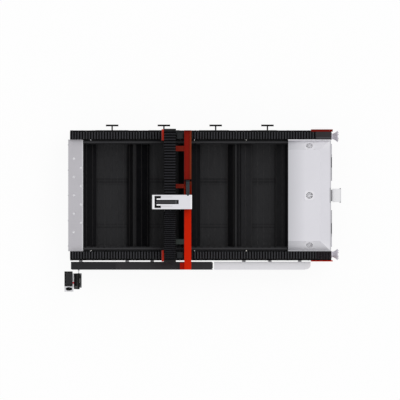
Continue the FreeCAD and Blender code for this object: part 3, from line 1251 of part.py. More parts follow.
# ---- the whole machine ------------------------------------------------------------------
def sub_parts():
    """Every named piece, in the frame of the bed's middle."""
    left, right = FLANGE_X[0], FLANGE_RIGHT_X[1]
    parts = {
        "levelling_feet": levelling_feet(), "bed_legs": bed_legs(), "lower_frame": lower_frame(),
        "bed_beams": bed_beams(), "x_rails": x_rails(), "divider_bars": divider_bars(),
        "bed_liners": bed_liners(), "cutting_slats": cutting_slats(), "sheet_ledges": sheet_ledges(),
        "hopper_plates": hopper_plates(),
        "loading_plate": loading_plate(), "ball_cups": ball_cups(), "transfer_balls": transfer_balls(),
        "x_bellows_left": x_bellows(BEAM_LEFT_X, left, FOLD_COUNT_LEFT),
        "x_bellows_right": x_bellows(right, BELLOWS_END_X, FOLD_COUNT_RIGHT),
        "rail_covers": rail_covers(), "end_trims": end_trims(), "end_cover": end_cover(),
        "laser_source": cabinet(SOURCE_BOX),
        "fan_guards": fan_guards(), "fan_frames": fan_frames(), "fume_duct": fume_duct(),
        "lifting_bollards": lifting_bollards(), "x_cable_chain": x_cable_chain(),
        "chain_trough_left": chain_trough(TROUGH_LEFT_X, TROUGH_SPLIT_X[0], True, TROUGH_LEFT_ROUND,
                                          BRACKET_X_LEFT, TROUGH_SEAM_X),
        "chain_trough_right": chain_trough(TROUGH_SPLIT_X[1], TROUGH_RIGHT_X, False, TROUGH_RIGHT_ROUND,
                                           BRACKET_X_RIGHT),
        "console_post": console_post(), "stop_button": stop_button(), "keyboard": keyboard(),
        "mouse": mouse(), "monitor": monitor(),
        "gantry_carriages": gantry_carriages(),
        "bellows_flanges": bellows_flanges(), "x_servo_motors": x_servo_motors(),
        "gantry_beam": gantry_beam(), "beam_end_caps": beam_end_caps(), "gantry_channel": gantry_channel(),
        "sensor_box": sensor_box(), "y_cable_chain": y_cable_chain(), "x_chain_arm": x_chain_arm(),
        "y_bellows": y_bellows(),
        "x_pinion_front": x_pinion(-1), "x_pinion_rear": x_pinion(1), "y_pinion": y_pinion(),
        "y_carriage": y_carriage(), "head_servo_motors": head_servo_motors(),
        "head_cover": head_cover(), "head_manifold": head_manifold(), "z_screw": z_screw(),
        "z_slide": z_slide(), "cutting_head": cutting_head(),
        "service_door_rear": service_door(1), "service_door_front": service_door(-1),
    }
    for index in range(BAY_COUNT):
        parts["slag_drawer_%d" % (index + 1)] = slag_drawer(index)
    for index, name in enumerate(("front", "middle", "rear")):
        parts["fan_rotor_" + name] = fan_rotor(index)
    return parts


def footprint_middle():
    x = (SHELF[0] + DUCT_RIGHT_X) / 2
    y = (SHELF[2] + HANDLE_REACH_Y) / 2
    return V(x, y, 0)


os.makedirs("parts", exist_ok=True)
origin = footprint_middle()
for name, shape in sub_parts().items():
    moved = shape.translated(-origin)
    moved.exportStep("parts/%s.step" % name)
print("sub-parts written, footprint middle at", origin.x, origin.y)
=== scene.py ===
# %% [markdown]
# # Dressing a gantry laser cutting machine
#
# The machine comes packed from CAD as plain solids that already move: a gantry along X, a head
# across it in Y, drawers, doors and fans. This lesson gives those solids paint, metal, cloth and
# dirt, and builds the pieces that CAD keeps plain: folding way covers, drag chains, keys, screws.
# Everything is in metres, with +X to the fume end, +Y to the drawer side and +Z up. Places on the
# machine are typed in millimetres from the middle of the bed, as a maker's drawing has them.

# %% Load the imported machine
import math
from functools import partial

import bmesh
import bpy
from mathutils import Matrix, Vector


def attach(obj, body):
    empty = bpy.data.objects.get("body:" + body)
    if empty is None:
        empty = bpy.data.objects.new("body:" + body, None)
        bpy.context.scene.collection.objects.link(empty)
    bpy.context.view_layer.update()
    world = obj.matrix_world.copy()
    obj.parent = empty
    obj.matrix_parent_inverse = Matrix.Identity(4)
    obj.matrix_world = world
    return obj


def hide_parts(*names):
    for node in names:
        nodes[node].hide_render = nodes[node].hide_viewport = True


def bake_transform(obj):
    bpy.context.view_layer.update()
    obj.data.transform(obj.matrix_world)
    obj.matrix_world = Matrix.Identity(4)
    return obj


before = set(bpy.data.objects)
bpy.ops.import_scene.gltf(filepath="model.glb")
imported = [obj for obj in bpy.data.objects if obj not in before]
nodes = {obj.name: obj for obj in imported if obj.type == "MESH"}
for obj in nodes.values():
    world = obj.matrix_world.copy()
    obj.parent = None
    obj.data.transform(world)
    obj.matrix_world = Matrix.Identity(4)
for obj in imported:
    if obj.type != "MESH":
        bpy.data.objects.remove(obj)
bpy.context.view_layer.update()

# %% Places on the machine
MM = 0.001
BED_X, BED_Y = -51.0, 211.5      # middle of the bed, in the row frame


def machine(x, y, z):
    """A place counted in millimetres from the middle of the bed, in the row frame."""
    return (x + BED_X, y + BED_Y, z)


print("bed middle at", machine(0, 0, 0))

# %% [markdown]
# ## Camera and light
#
# The picture is taken from straight above, from so far away that upright faces hardly show. A long
# lens from a hundred metres up does the same, and keeps a small part of the depth. The image is 400
# pixels wide, and a pixel covers 17 mm of the machine, so the view is 6.8 m wide at table height.

# %% Camera
PIXEL = 0.017
VIEW_WIDTH = 400 * PIXEL
TABLE_Z = 0.85
CAMERA_UP = 100.0
CAMERA_PLACE = (0.0, -78.2)      # on the machine, in millimetres

camera = bpy.data.objects.new("camera", bpy.data.cameras.new("camera"))
bpy.context.scene.collection.objects.link(camera)
bpy.context.scene.camera = camera
camera.location = Vector(machine(*CAMERA_PLACE, 0)) * MM + Vector((0, 0, TABLE_Z + CAMERA_UP))
camera.data.lens = camera.data.sensor_width * CAMERA_UP / VIEW_WIDTH
camera.data.clip_start, camera.data.clip_end = 1.0, 400.0
print("lens", round(camera.data.lens, 1), "mm")


# %% [markdown]
# The light of the picture is flat and white, as in a product view: nearly all of it comes from a
# pale sky, and one broad lamp from the rear right gives the folds a lit side and a shaded side.

# %% World and lamp
def make_world(strength):
    world = bpy.data.worlds.new("pale_room")
    world.use_nodes = True
    background = world.node_tree.nodes["Background"]
    background.inputs["Color"].default_value = (1.0, 1.0, 1.0, 1.0)
    background.inputs["Strength"].default_value = strength
    bpy.context.scene.world = world


def add_sun(name, strength, spread_deg, towards):
    lamp = bpy.data.objects.new(name, bpy.data.lights.new(name, "SUN"))
    bpy.context.scene.collection.objects.link(lamp)
    lamp.data.energy = strength
    lamp.data.angle = math.radians(spread_deg)
    lamp.rotation_euler = Vector(towards).to_track_quat("-Z", "Y").to_euler()


make_world(0.72)
add_sun("broad_lamp", 0.95, 40, (-0.35, -0.30, -1.0))
bpy.context.scene.view_settings.view_transform = "Standard"
print("lamps ready")

# %% [markdown]
# ## Floor
#
# The picture has a white ground. The floor is a big pale sheet: to the camera and to glossy faces
# it looks near white, and for all other rays it is an ordinary pale floor that takes the shadow.

# %% One shader node
def add(tree, kind, settings=None, links=None, **values):
    """One shader node with its settings, its plain values by socket name, and incoming links."""
    node = tree.nodes.new("ShaderNode" + kind)
    for key, value in (settings or {}).items():
        setattr(node, key, value)
    for key, value in values.items():
        node.inputs[key.replace("_", " ")].default_value = value
    for key, source in (links or {}).items():
        tree.links.new(source, node.inputs[key])
    return node


# %% Floor
WHITE_SHARE = 0.93      # how much of the floor's white doesn't depend on the light
FLOOR_HALF = 30.0


def floor_material():
    material = bpy.data.materials.new("pale_floor")
    material.use_nodes = True
    tree = material.node_tree
    shader = tree.nodes["Principled BSDF"]
    shader.inputs["Base Color"].default_value = (0.86, 0.86, 0.86, 1.0)
    shader.inputs["Roughness"].default_value = 0.9
    white = add(tree, "Emission", Strength=1.0, Color=(1.0, 1.0, 1.0, 1.0))
    path = add(tree, "LightPath").outputs
    seen = add(tree, "Math", {"operation": "ADD", "use_clamp": True},
               {0: path["Is Camera Ray"], 1: path["Is Glossy Ray"]})
    share = add(tree, "Math", {"operation": "MULTIPLY"}, {0: seen.outputs[0]})
    share.inputs[1].default_value = WHITE_SHARE
    mix = add(tree, "MixShader", None,
              {"Fac": share.outputs[0], 1: shader.outputs[0], 2: white.outputs[0]})
    tree.links.new(mix.outputs[0], tree.nodes["Material Output"].inputs["Surface"])
    return material


def make_floor(half):
    mesh = bpy.data.meshes.new("floor")
    corners = [(-half, -half, 0), (half, -half, 0), (half, half, 0), (-half, half, 0)]
    mesh.from_pydata(corners, [], [(0, 1, 2, 3)])
    mesh.materials.append(floor_material())
    floor = bpy.data.objects.new("floor", mesh)
    bpy.context.scene.collection.objects.link(floor)


make_floor(FLOOR_HALF)
print("floor made")

# %% [markdown]
# ## Shared effects
#
# Real paint, steel and cloth are never one flat colour. Five node groups carry what several
# finishes need: slow mottling of the colour, soot that settles on upward faces, fine grain, a
# soft-edged zone of another shade, and a woven grain. Each puts out only a colour, a mask or a
# height, so that the material that uses it still sets its own gloss and metal.

# %% Tools for node groups
FLOAT, COLOR, VECTOR = "NodeSocketFloat", "NodeSocketColor", "NodeSocketVector"
MID_GREY = (0.5, 0.5, 0.5, 1)


def new_group(name, inputs, outputs):
    """An empty group, the sockets it is given by name, and its result sockets by name."""
    group = bpy.data.node_groups.new(name, "ShaderNodeTree")
    for label, kind, value in inputs:
        socket = group.interface.new_socket(name=label, in_out="INPUT", socket_type=kind)
        socket.default_value = value
    for label, kind in outputs:
        group.interface.new_socket(name=label, in_out="OUTPUT", socket_type=kind)
    given = group.nodes.new("NodeGroupInput").outputs
    return group, given, group.nodes.new("NodeGroupOutput").inputs


def reckon(tree, operation, *sources, kind="Math"):
    """Result of a Math or VectorMath node whose inputs are linked in order."""
    node = add(tree, kind, {"operation": operation}, dict(enumerate(sources)))
    return node.outputs["Vector" if kind == "VectorMath" and operation != "LENGTH" else "Value"]


def spot(tree):
    """Where a point lies on the machine: object coordinates move with their body."""
    return add(tree, "TexCoord").outputs["Object"]


def noise(tree, place, scale, detail, roughness):
    """Cloudy noise from 0 to 1. The scale is a socket, or None where the place is scaled."""
    node = add(tree, "TexNoise", None, {"Vector": place}, Detail=detail, Roughness=roughness)
    if scale:
        tree.links.new(scale, node.inputs["Scale"])
    else:
        node.inputs["Scale"].default_value = 1.0
    return node.outputs["Fac"]


# %% Mottle: a colour that drifts slowly over the surface
def mottle_group():
    group, given, result = new_group(
        "mottle", [("Colour", COLOR, MID_GREY), ("Scale", FLOAT, 3.0), ("Amount", FLOAT, 0.1)],
        [("Colour", COLOR), ("Mask", FLOAT)])
    cloud = noise(group, spot(group), given["Scale"], 6.0, 0.6)
    swing = add(group, "MapRange", None, {"Value": cloud}, From_Min=0.3, From_Max=0.7,
                To_Min=-1.0, To_Max=1.0)
    change = add(group, "Math", {"operation": "MULTIPLY_ADD"},
                 {0: swing.outputs[0], 1: given["Amount"]})
    change.inputs[2].default_value = 1.0
    hue = add(group, "HueSaturation", None, {"Color": given["Colour"], "Value": change.outputs[0]})
    group.links.new(hue.outputs["Color"], result["Colour"])
    group.links.new(cloud, result["Mask"])
    return group


# %% Soot: dark dust on faces that look up, in clouds
def soot_group():
    group, given, result = new_group(
        "soot", [("Colour", COLOR, MID_GREY), ("Soot", COLOR, (0.03, 0.03, 0.032, 1)),
                 ("Scale", FLOAT, 6.0), ("Amount", FLOAT, 0.5)],
        [("Colour", COLOR)])
    normal = add(group, "NewGeometry").outputs["Normal"]
    facing = add(group, "SeparateXYZ", None, {0: normal}).outputs["Z"]
    up = add(group, "MapRange", None, {"Value": facing}, From_Min=0.2, From_Max=0.9)
    specks = noise(group, spot(group), given["Scale"], 8.0, 0.7)
    cloud = add(group, "MapRange", None, {"Value": specks}, From_Min=0.35, From_Max=0.65)
    dust = reckon(group, "MULTIPLY", up.outputs[0], cloud.outputs[0])
    mask = reckon(group, "MULTIPLY", dust, given["Amount"])
    mix = add(group, "Mix", {"data_type": "RGBA"},
              {"Factor": mask, "A": given["Colour"], "B": given["Soot"]})
    group.links.new(mix.outputs["Result"], result["Colour"])
    return group


# %% Grain: fine lines or specks, as a height
def grain_group():
    group, given, result = new_group(
        "grain", [("Along", FLOAT, 2.0), ("Across", FLOAT, 400.0)], [("Height", FLOAT)])
    across = given["Across"]
    stretch = add(group, "CombineXYZ", None, {"X": across, "Y": given["Along"], "Z": across})
    scaled = reckon(group, "MULTIPLY", spot(group), stretch.outputs[0], kind="VectorMath")
    group.links.new(noise(group, scaled, None, 3.0, 0.55), result["Height"])
    return group


# %% Zone: a soft-edged block of the machine, as a mask
def zone_group():
    group, given, result = new_group(
        "zone", [("Middle", VECTOR, (0, 0, 0)), ("Half", VECTOR, (1, 1, 1)),
                 ("Soft", FLOAT, 0.001)], [("Mask", FLOAT)])

    def vector(operation, *sources):
        return reckon(group, operation, *sources, kind="VectorMath")

    side = vector("ABSOLUTE", vector("SUBTRACT", spot(group), given["Middle"]))
    outside = vector("MAXIMUM", vector("SUBTRACT", side, given["Half"]))
    share = reckon(group, "DIVIDE", vector("LENGTH", outside), given["Soft"])
    inside = add(group, "MapRange", None, {"Value": share}, To_Min=1.0, To_Max=0.0)
    group.links.new(inside.outputs[0], result["Mask"])
    return group


# %% Weave: crossed threads as a height
def weave_group():
    group, given, result = new_group("weave", [("Threads", FLOAT, 900.0)], [("Height", FLOAT)])
    place = add(group, "SeparateXYZ", None, {0: spot(group)})
    waves = [reckon(group, "SINE", reckon(group, "MULTIPLY", place.outputs[axis], given["Threads"]))
             for axis in ("X", "Y")]
    group.links.new(reckon(group, "MULTIPLY", *waves), result["Height"])
    return group


MOTTLE, SOOT, GRAIN = mottle_group(), soot_group(), grain_group()
ZONE, WEAVE = zone_group(), weave_group()
print("groups", [group.name for group in (MOTTLE, SOOT, GRAIN, ZONE, WEAVE)])

# %% [markdown]
# ## Finishes
#
# Colours are written as they would be picked from a picture, from 0 to 255, and turned into the
# linear values that shaders use. A dark paint mostly shows the sheen of the bright room, so
# `bare` takes that sheen off first. Every finish then goes through `finish`, which places the
# groups that it needs and leaves gloss, metal and coat as plain numbers on the shader.

# %% From picked colour to linear colour
ROOM_SHEEN = 0.06      # what the pale room adds to a paint of full shine
DARKEST = 0.0006


def linear(value):
    share = value / 255.0
    return share / 12.92 if share <= 0.04045 else ((share + 0.055) / 1.055) ** 2.4


def bare(colour, metal=0.0, shine=0.5):
    """The colour under the room's sheen, which lies over every paint but is part of a metal."""
    sheen = ROOM_SHEEN * shine * (1.0 - metal)
    return tuple(max(DARKEST, linear(value) - sheen) for value in colour) + (1.0,)


# %% One finish
FINISHES = {}      # by name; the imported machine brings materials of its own
COAT_ROUGH, BUMP_STRENGTH = 0.2, 0.35


def finish(name, colour, rough, metal=0.0, mottle=(2.0, 0.05), soot=None, grain=None, weave=None,
           coat=0.0, rough_spread=0.08, shine=0.5, zones=()):
    """A material: mottle (scale, amount), soot (scale, amount), grain (along, across, depth),
    weave (threads, depth), and zones (low corner, high corner, colour, soft edge) in
    millimetres from the bed's middle."""
    material = bpy.data.materials.new(name)
    material.use_nodes = True
    tree = material.node_tree

    def effect(group, links=None, **values):
        return add(tree, "Group", {"node_tree": group}, links, **values).outputs

    shader = tree.nodes["Principled BSDF"]
    for key, value in (("Metallic", metal), ("Specular IOR Level", shine), ("Coat Weight", coat),
                       ("Coat Roughness", COAT_ROUGH)):
        shader.inputs[key].default_value = value
    drift = effect(MOTTLE, Colour=bare(colour, metal, shine), Scale=mottle[0], Amount=mottle[1])
    shade = drift["Colour"]
    for low, high, other, soft in zones:
        middle = (Vector(machine(*low)) + Vector(machine(*high))) * MM / 2
        half = (Vector(high) - Vector(low)) * MM / 2
        block = effect(ZONE, Middle=middle, Half=half, Soft=soft / 1000)
        mix = add(tree, "Mix", {"data_type": "RGBA"}, {"Factor": block["Mask"], "A": shade})
        mix.inputs["B"].default_value = bare(other, metal, shine)
        shade = mix.outputs["Result"]
    if soot:
        shade = effect(SOOT, {"Colour": shade}, Scale=soot[0], Amount=soot[1])["Colour"]
    tree.links.new(shade, shader.inputs["Base Color"])
    gloss = add(tree, "MapRange", None, {"Value": drift["Mask"]}, From_Min=0.3, From_Max=0.7,
                To_Min=max(0.02, rough - rough_spread), To_Max=min(1.0, rough + rough_spread))
    tree.links.new(gloss.outputs[0], shader.inputs["Roughness"])
    if grain or weave:
        relief = (effect(WEAVE, Threads=weave[0]) if weave else
                  effect(GRAIN, Along=grain[0], Across=grain[1]))
        bump = add(tree, "Bump", None, {"Height": relief["Height"]}, Strength=BUMP_STRENGTH,
                   Distance=(weave or grain)[-1])
        tree.links.new(bump.outputs["Normal"], shader.inputs["Normal"])
    FINISHES[name] = material


# %% [markdown]
# The machine's paints: a near-black frame, pale grey and white powder coat on covers, and a hot
# red on the gantry. Powder coat has a slight orange peel, so each gets fine even specks as bump.
# Where one paint shows another colour, it has a zone: painted shade in a shadow or at a dark
# opening, a painted highlight on an edge, or a real second colour.

# %% Dark paints
powder = partial(finish, grain=(700.0, 700.0, 0.00025))
powder("frame_paint", (44, 44, 47), 0.5, soot=(5.0, 0.3), shine=0.3)
powder("beam_paint", (24, 24, 26), 0.55, shine=0.15)
# Painted highlight: lighter grey on the rail covers' tops near the end, for lit fold ridges.
FOLD_RIDGE_HIGHLIGHT = ((1900, -1100, 894), (2300, -940, 902), (72, 70, 74), 0.5)
COVER_FOLD_HIGHLIGHT = ((1960, 970, 897), (2240, 986, 902), (70, 70, 74), 2)
powder("black_plate", (44, 40, 42), 0.55, soot=(9.0, 0.3), shine=0.3,
       zones=(FOLD_RIDGE_HIGHLIGHT, COVER_FOLD_HIGHLIGHT))
powder("ledge_paint", (57, 57, 59), 0.55, soot=(7.0, 0.25), shine=0.25)
powder("divider_paint", (62, 62, 64), 0.6, soot=(7.0, 0.3), shine=0.2)
# Painted shadow: darker bands on the drawers beside their cross ribs.
RIB_SHADOWS = [((-2249, y0, 100), (1951, y1, 400), (57, 57, 59), 2)
              for y0, y1 in ((262, 296), (211, 245), (-503, -486), (-554, -537))]
HANDLES = ((-2249, 1098, 100), (1951, 1282, 400), (12, 12, 13), 3)
powder("drawer_paint", (65, 65, 67), 0.6, soot=(8.0, 0.25), shine=0.2,
       zones=(*RIB_SHADOWS, HANDLES))
# Painted shade and light on the hopper slopes: the first is darker, the other two lighter.
SLOPE_LIGHT_AND_SHADE = [((x0, -990, 200), (x1, 990, 760), (shade, shade, shade + 2), 4)
          for x0, x1, shade in ((-1075, -865, 37), (705, 895, 72), (1285, 1445, 70))]
powder("hopper_paint", (50, 50, 52), 0.65, soot=(8.0, 0.3), shine=0.2, zones=SLOPE_LIGHT_AND_SHADE)
powder("liner_paint", (62, 62, 64), 0.7, shine=0.15)
powder("motor_grey", (36, 38, 40), 0.45, shine=0.25)
powder("cap_plastic", (24, 12, 18), 0.45, shine=0.2)
powder("sensor_paint", (45, 52, 49), 0.5, shine=0.25)
powder("manifold_paint", (88, 88, 91), 0.5, shine=0.25)

# %% Pale greys of the end cover and the troughs
# Painted shade: near-black on the loading plate's edge beside the bed opening.
PLATE_EDGE_SHADE = ((-1990, -951, 700), (-1970, 951, 801), (20, 20, 22), 1)
powder("plate_grey", (185, 183, 188), 0.42, mottle=(3.0, 0.03), zones=(PLATE_EDGE_SHADE,))
# Painted light: the end cover's side slopes, fan guards too, are lightened where the rail covers
# shade them.
BEVEL_HIGHLIGHTS = [((1400, y - 45, 700), (2212, y + 45, 1000), (228, 227, 231), 150) for y in (-950, 950)]
SHADE_END = ((-1649, -1018, 500), (1486, 1082, 1000), (190, 190, 195), 300)
END_LINE = ((2210, -951, 300), (2240, 951, 1000), (196, 195, 200), 2)
NECK_LINE = ((2206, -128, 300), (2262, 128, 1000), (168, 168, 172), 2)
# Painted shade: near-black on the end cover's edge beside the bed opening.
COVER_EDGE_SHADE = ((1480, -951, 300), (1498, 951, 1000), (16, 16, 18), 1)
DOOR_BARS = ((2241, -700, 300), (2262, 700, 1000), (90, 90, 94), 1)
powder("cover_grey", (218, 217, 223), 0.4, mottle=(0.9, 0.03),
       zones=(*BEVEL_HIGHLIGHTS, SHADE_END, END_LINE, NECK_LINE, COVER_EDGE_SHADE, DOOR_BARS))
powder("guard_grey", (226, 225, 230), 0.4, zones=BEVEL_HIGHLIGHTS)
powder("rotor_grey", (240, 240, 244), 0.5)
DUCT_NECK = ((2201, -218, 300), (2244, 282, 800), (96, 96, 100), 3)
powder("duct_grey", (232, 232, 234), 0.45, zones=(DUCT_NECK,))
powder("bollard_grey", (212, 208, 217), 0.4)
TROUGH_REST = ((-1436, -1318, 500), (251, -1131, 800), (50, 49, 51), 6)
BRACKETS_LEFT = ((-2249, -1129, 500), (251, -1018, 800), (225, 225, 228), 3)
BRACKETS_RIGHT = ((151, -1129, 500), (1951, -1018, 800), (250, 249, 252), 3)
# Painted shade: near-black strips on the troughs' top edges, standing in for their shaded bevels.
TROUGH_RIM_SHADE = [((-2260, y0, 500), (x1, y1, top), (18, 18, 20), 1) for x1, y0, y1, top in (
    (251, -1262, -1244, 718), (-2186, -1262, -1128, 718.5), (251, -1141, -1131, 718.5))]
powder("trough_black", (43, 43, 45), 0.5, shine=0.25,
       zones=(TROUGH_REST, BRACKETS_LEFT, *TROUGH_RIM_SHADE))
powder("trough_grey", (226, 225, 229), 0.4, mottle=(1.2, 0.02), zones=(BRACKETS_RIGHT,))

# %% White of the head's cover, with painted shade round its openings and in faint bands, and painted highlights on its edges
# Painted shade: near-black on the cover's top at the slot's arms and at the chain's notch, where
# the openings look dark.
OPENING_SHADE = (24, 24, 26)
HEAD_ARMS = [((-768, y, 1480), (-660, y + 31, 1502), OPENING_SHADE, 1) for y in (-41, -213)]
CHAIN_NOTCH = ((-217, -7, 1400), (-191, 20, 1502), OPENING_SHADE, 2)
# Painted highlights: lighter white at the cover's end, along its edges and on the lips beside the
# slot.
END_HIGHLIGHT = ((-815, -240, 1400), (-771, 16, 1502), (240, 240, 243), 8)
EDGE_HIGHLIGHTS = [((-153, -240, 1400), (-130, 16, 1502), (252, 251, 254), 2),
              ((-815, -240, 1400), (-330, -226, 1502), (243, 243, 246), 4),
              ((-733, -68, 1480), (-672, -43, 1502), (252, 252, 253), 2),
              ((-733, -181, 1480), (-672, -156, 1502), (252, 252, 253), 2)]
# Painted shade: two faint darker bands across the cover's top.
FAINT_SHADE_BANDS = [((-655, y - 5, 1480), (-470, y + 5, 1502), (207, 206, 210), 8)
               for y in (-26, -184)]
powder("white_paint", (222, 221, 227), 0.32, mottle=(2.0, 0.015),
       zones=(END_HIGHLIGHT, *EDGE_HIGHLIGHTS, *FAINT_SHADE_BANDS, *HEAD_ARMS, CHAIN_NOTCH))

# %% Red of the gantry, darker where it lies in shade
INNER_RED = ((-264, -148, 1000), (-151, 1182, 1096), (136, 28, 19), 8)
# Painted light: a lighter red on the channel's edge and near the head.
EDGE_RED_HIGHLIGHT = ((-172, -20, 1000), (-146, 1182, 1096), (170, 72, 44), 2)
NEAR_HEAD_RED_LIGHT = ((-269, -158, 1000), (-146, 142, 1096), (205, 48, 14), 60)
LOOP_SHADE = ((-269, 238, 1000), (-146, 270, 1096), (50, 18, 13), 6)
ARM_RED = ((-419, -118, 1000), (-269, 982, 1096), (111, 31, 20), 3)
STAY_RED = ((-409, -1318, 900), (-269, -1118, 1096), (150, 20, 8), 3)
REAR_TRIM_RED = ((1851, 982, 500), (2351, 1182, 800), (120, 26, 18), 5)
powder("red_paint", (198, 34, 4), 0.4, mottle=(1.5, 0.04), shine=0.03, zones=(
    INNER_RED, EDGE_RED_HIGHLIGHT, NEAR_HEAD_RED_LIGHT, LOOP_SHADE, ARM_RED, STAY_RED, REAR_TRIM_RED))
RIGHT_FLANGES = ((-250, -1200, 700), (0, 1200, 1100), (24, 24, 26), 1)
HOT_EDGE = ((-641, -1200, 700), (-600, 1200, 1100), (214, 50, 32), 2)
powder("flange_red", (176, 80, 77), 0.4, shine=0.2, zones=(RIGHT_FLANGES, HOT_EDGE))
DARK_POST = ((-2139, -1600, -5), (-2010, -1320, 1080), (26, 26, 28), 1)
powder("console_paint", (230, 230, 233), 0.42, zones=(DARK_POST,))
print("paints", len(FINISHES))

# %% [markdown]
# Bare metals: ground rails shine in streaks along their length, the slats are hot-rolled and
# scorched by the beam, aluminium parts are brushed, balls and screws are bright.

# %% Metals
metal = partial(finish, metal=1.0)
metal("rail_steel", (178, 180, 184), 0.28, grain=(900.0, 4.0, 0.0001))
finish("slat_steel", (60, 58, 58), 0.55, metal=0.7, mottle=(14.0, 0.3),
       grain=(60.0, 300.0, 0.0004), soot=(20.0, 0.4))
metal("gear_steel", (150, 151, 154), 0.35, grain=(200.0, 500.0, 0.0002))
finish("chrome_ball", (236, 236, 239), 0.15, metal=0.4, rough_spread=0.04)
finish("cup_steel", (214, 213, 217), 0.35, metal=0.3)
metal("aluminium", (186, 186, 190), 0.34, grain=(6.0, 700.0, 0.00015))
metal("brass", (176, 132, 66), 0.3)
metal("copper", (170, 98, 66), 0.32)
metal("bolt_steel", (120, 121, 124), 0.38)
finish("black_oxide", (44, 44, 46), 0.45, metal=0.8)
finish("screw_red", (160, 30, 10), 0.4, shine=0.2)
finish("ceramic", (232, 228, 218), 0.3)

# %% [markdown]
# Plastics, rubber and cloth: the way covers are coated cloth with a fine weave, the chains and
# the console are moulded plastic with a soft sheen.

# %% Plastics, rubber and cloth
FINE_SPECKS, RUBBER_SPECKS = (900.0, 900.0, 0.0001), (600.0, 600.0, 0.0002)
finish("chain_plastic", (46, 56, 60), 0.5, grain=(500.0, 500.0, 0.0002))
finish("black_plastic", (18, 17, 19), 0.45, grain=FINE_SPECKS, shine=0.1)
finish("key_plastic", (62, 62, 64), 0.4, grain=FINE_SPECKS)
finish("button_red", (212, 26, 66), 0.22, coat=0.5, rough_spread=0.03)
finish("screen_glass", (14, 15, 18), 0.25, coat=0.05, rough_spread=0.02, shine=0.1)
finish("brush_black", (22, 22, 24), 0.8, grain=(4.0, 900.0, 0.0004), shine=0.1)
finish("rubber", (26, 26, 26), 0.7, grain=RUBBER_SPECKS)
cloth = partial(finish, weave=(2600.0, 0.0003))
cloth("cloth_ridge", (63, 63, 66), 0.7, mottle=(6.0, 0.08), shine=0.2)
cloth("beam_cloth", (50, 50, 53), 0.7, mottle=(6.0, 0.08), shine=0.2)
# Painted shade: the valleys of the folds take a near-black copy of the cloth.
cloth("cloth_valley", (4, 4, 5), 0.9, shine=0.05)
print("finishes", len(FINISHES))

# %% [markdown]
# ## Paint on the CAD solids
#
# A CAD solid whose shape is right keeps its mesh and only takes a material. Folded and welded
# parts also take a small bevel, because a real edge has a radius and catches the light. The
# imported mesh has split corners, so a weld modifier joins them first.

# %% Which finish goes on which solid
COATS = {
    "frame_paint": "bed_legs lower_frame",
    "beam_paint": "bed_beams gantry_beam",
    "gear_steel": "levelling_feet x_pinion_front x_pinion_rear y_pinion z_screw",
    "rail_steel": "x_rails",
    "black_plate": "rail_covers",
    "liner_paint": "bed_liners",
    "hopper_paint": "hopper_plates",
    "slat_steel": "cutting_slats",
    "ledge_paint": "sheet_ledges",
    "divider_paint": "divider_bars",
    "drawer_paint": "slag_drawer_1 slag_drawer_2 slag_drawer_3 slag_drawer_4",
    "plate_grey": "loading_plate laser_source",
    "cup_steel": "ball_cups",
    "chrome_ball": "transfer_balls",
    "cover_grey": "end_cover service_door_rear service_door_front",
    "guard_grey": "fan_guards fan_frames",
    "rotor_grey": "fan_rotor_front fan_rotor_middle fan_rotor_rear",
    "black_plastic": "keyboard mouse monitor",
    "duct_grey": "fume_duct",
    "bollard_grey": "lifting_bollards",
    "trough_black": "chain_trough_left",
    "trough_grey": "chain_trough_right",
    "red_paint": "end_trims gantry_channel x_chain_arm",
    "flange_red": "bellows_flanges",
    "white_paint": "head_cover",
    "aluminium": "y_carriage z_slide cutting_head",
    "manifold_paint": "head_manifold",
    "motor_grey": "gantry_carriages x_servo_motors head_servo_motors",
    "cap_plastic": "beam_end_caps",
    "sensor_paint": "sensor_box",
    "console_paint": "console_post",
    "button_red": "stop_button",
}

for coat, names in COATS.items():
    for name in names.split():
        nodes[name].data.materials.clear()
        nodes[name].data.materials.append(FINISHES[coat])
print("painted", sum(len(names.split()) for names in COATS.values()), "of", len(nodes))


# %% Rounded edges for folded and cast parts
def add_bevel(thing, radius):
    """Rounds every edge sharper than 40 degrees."""
    bevel = thing.modifiers.new("bevel", "BEVEL")
    bevel.width, bevel.segments = radius, 2
    bevel.limit_method, bevel.angle_limit = "ANGLE", math.radians(40)


SOFT_EDGES = {
    0.003: "bed_legs gantry_beam gantry_carriages x_servo_motors head_servo_motors beam_end_caps",
    0.002: "loading_plate laser_source end_trims sheet_ledges x_chain_arm sensor_box",
    0.0015: "head_cover end_cover gantry_channel bellows_flanges chain_trough_left"
            " chain_trough_right fume_duct console_post service_door_front service_door_rear",
}
for radius, names in SOFT_EDGES.items():
    for name in names.split():
        weld = nodes[name].modifiers.new("weld", "WELD")
        weld.merge_threshold = 0.00002
        add_bevel(nodes[name], radius)
print("softened", sum(len(names.split()) for names in SOFT_EDGES.values()))

# %% [markdown]
# ## Tools for new pieces
#
# Small helpers keep the cells short: `put` turns a bmesh into an object that rides on a body, and
# the others add boxes, rods, tubes and bolts to a bmesh. Their places are in millimetres of the
# row frame, which `machine` gives.

# %% A piece from a mesh
SHARP = math.radians(35)


def put(name, bm, materials, body, stands_for=(), bevel=0.0, smooth=True):
    mesh = bpy.data.meshes.new(name)
    bm.to_mesh(mesh)
    bm.free()
    for material in materials.split():
        mesh.materials.append(FINISHES[material])
    piece = bpy.data.objects.new(name, mesh)
    bpy.context.scene.collection.objects.link(piece)
    if smooth:
        mesh.shade_smooth()
        mesh.set_sharp_from_angle(angle=SHARP)
    if bevel:
        add_bevel(piece, bevel)
    if body:
        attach(piece, body)
    if stands_for:
        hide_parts(*stands_for)
    return piece


print("put ready")


# %% Boxes, and moving what was drawn
def give_material(verts, material):
    for face in {face for vert in verts for face in vert.link_faces}:
        face.material_index = material
    return verts


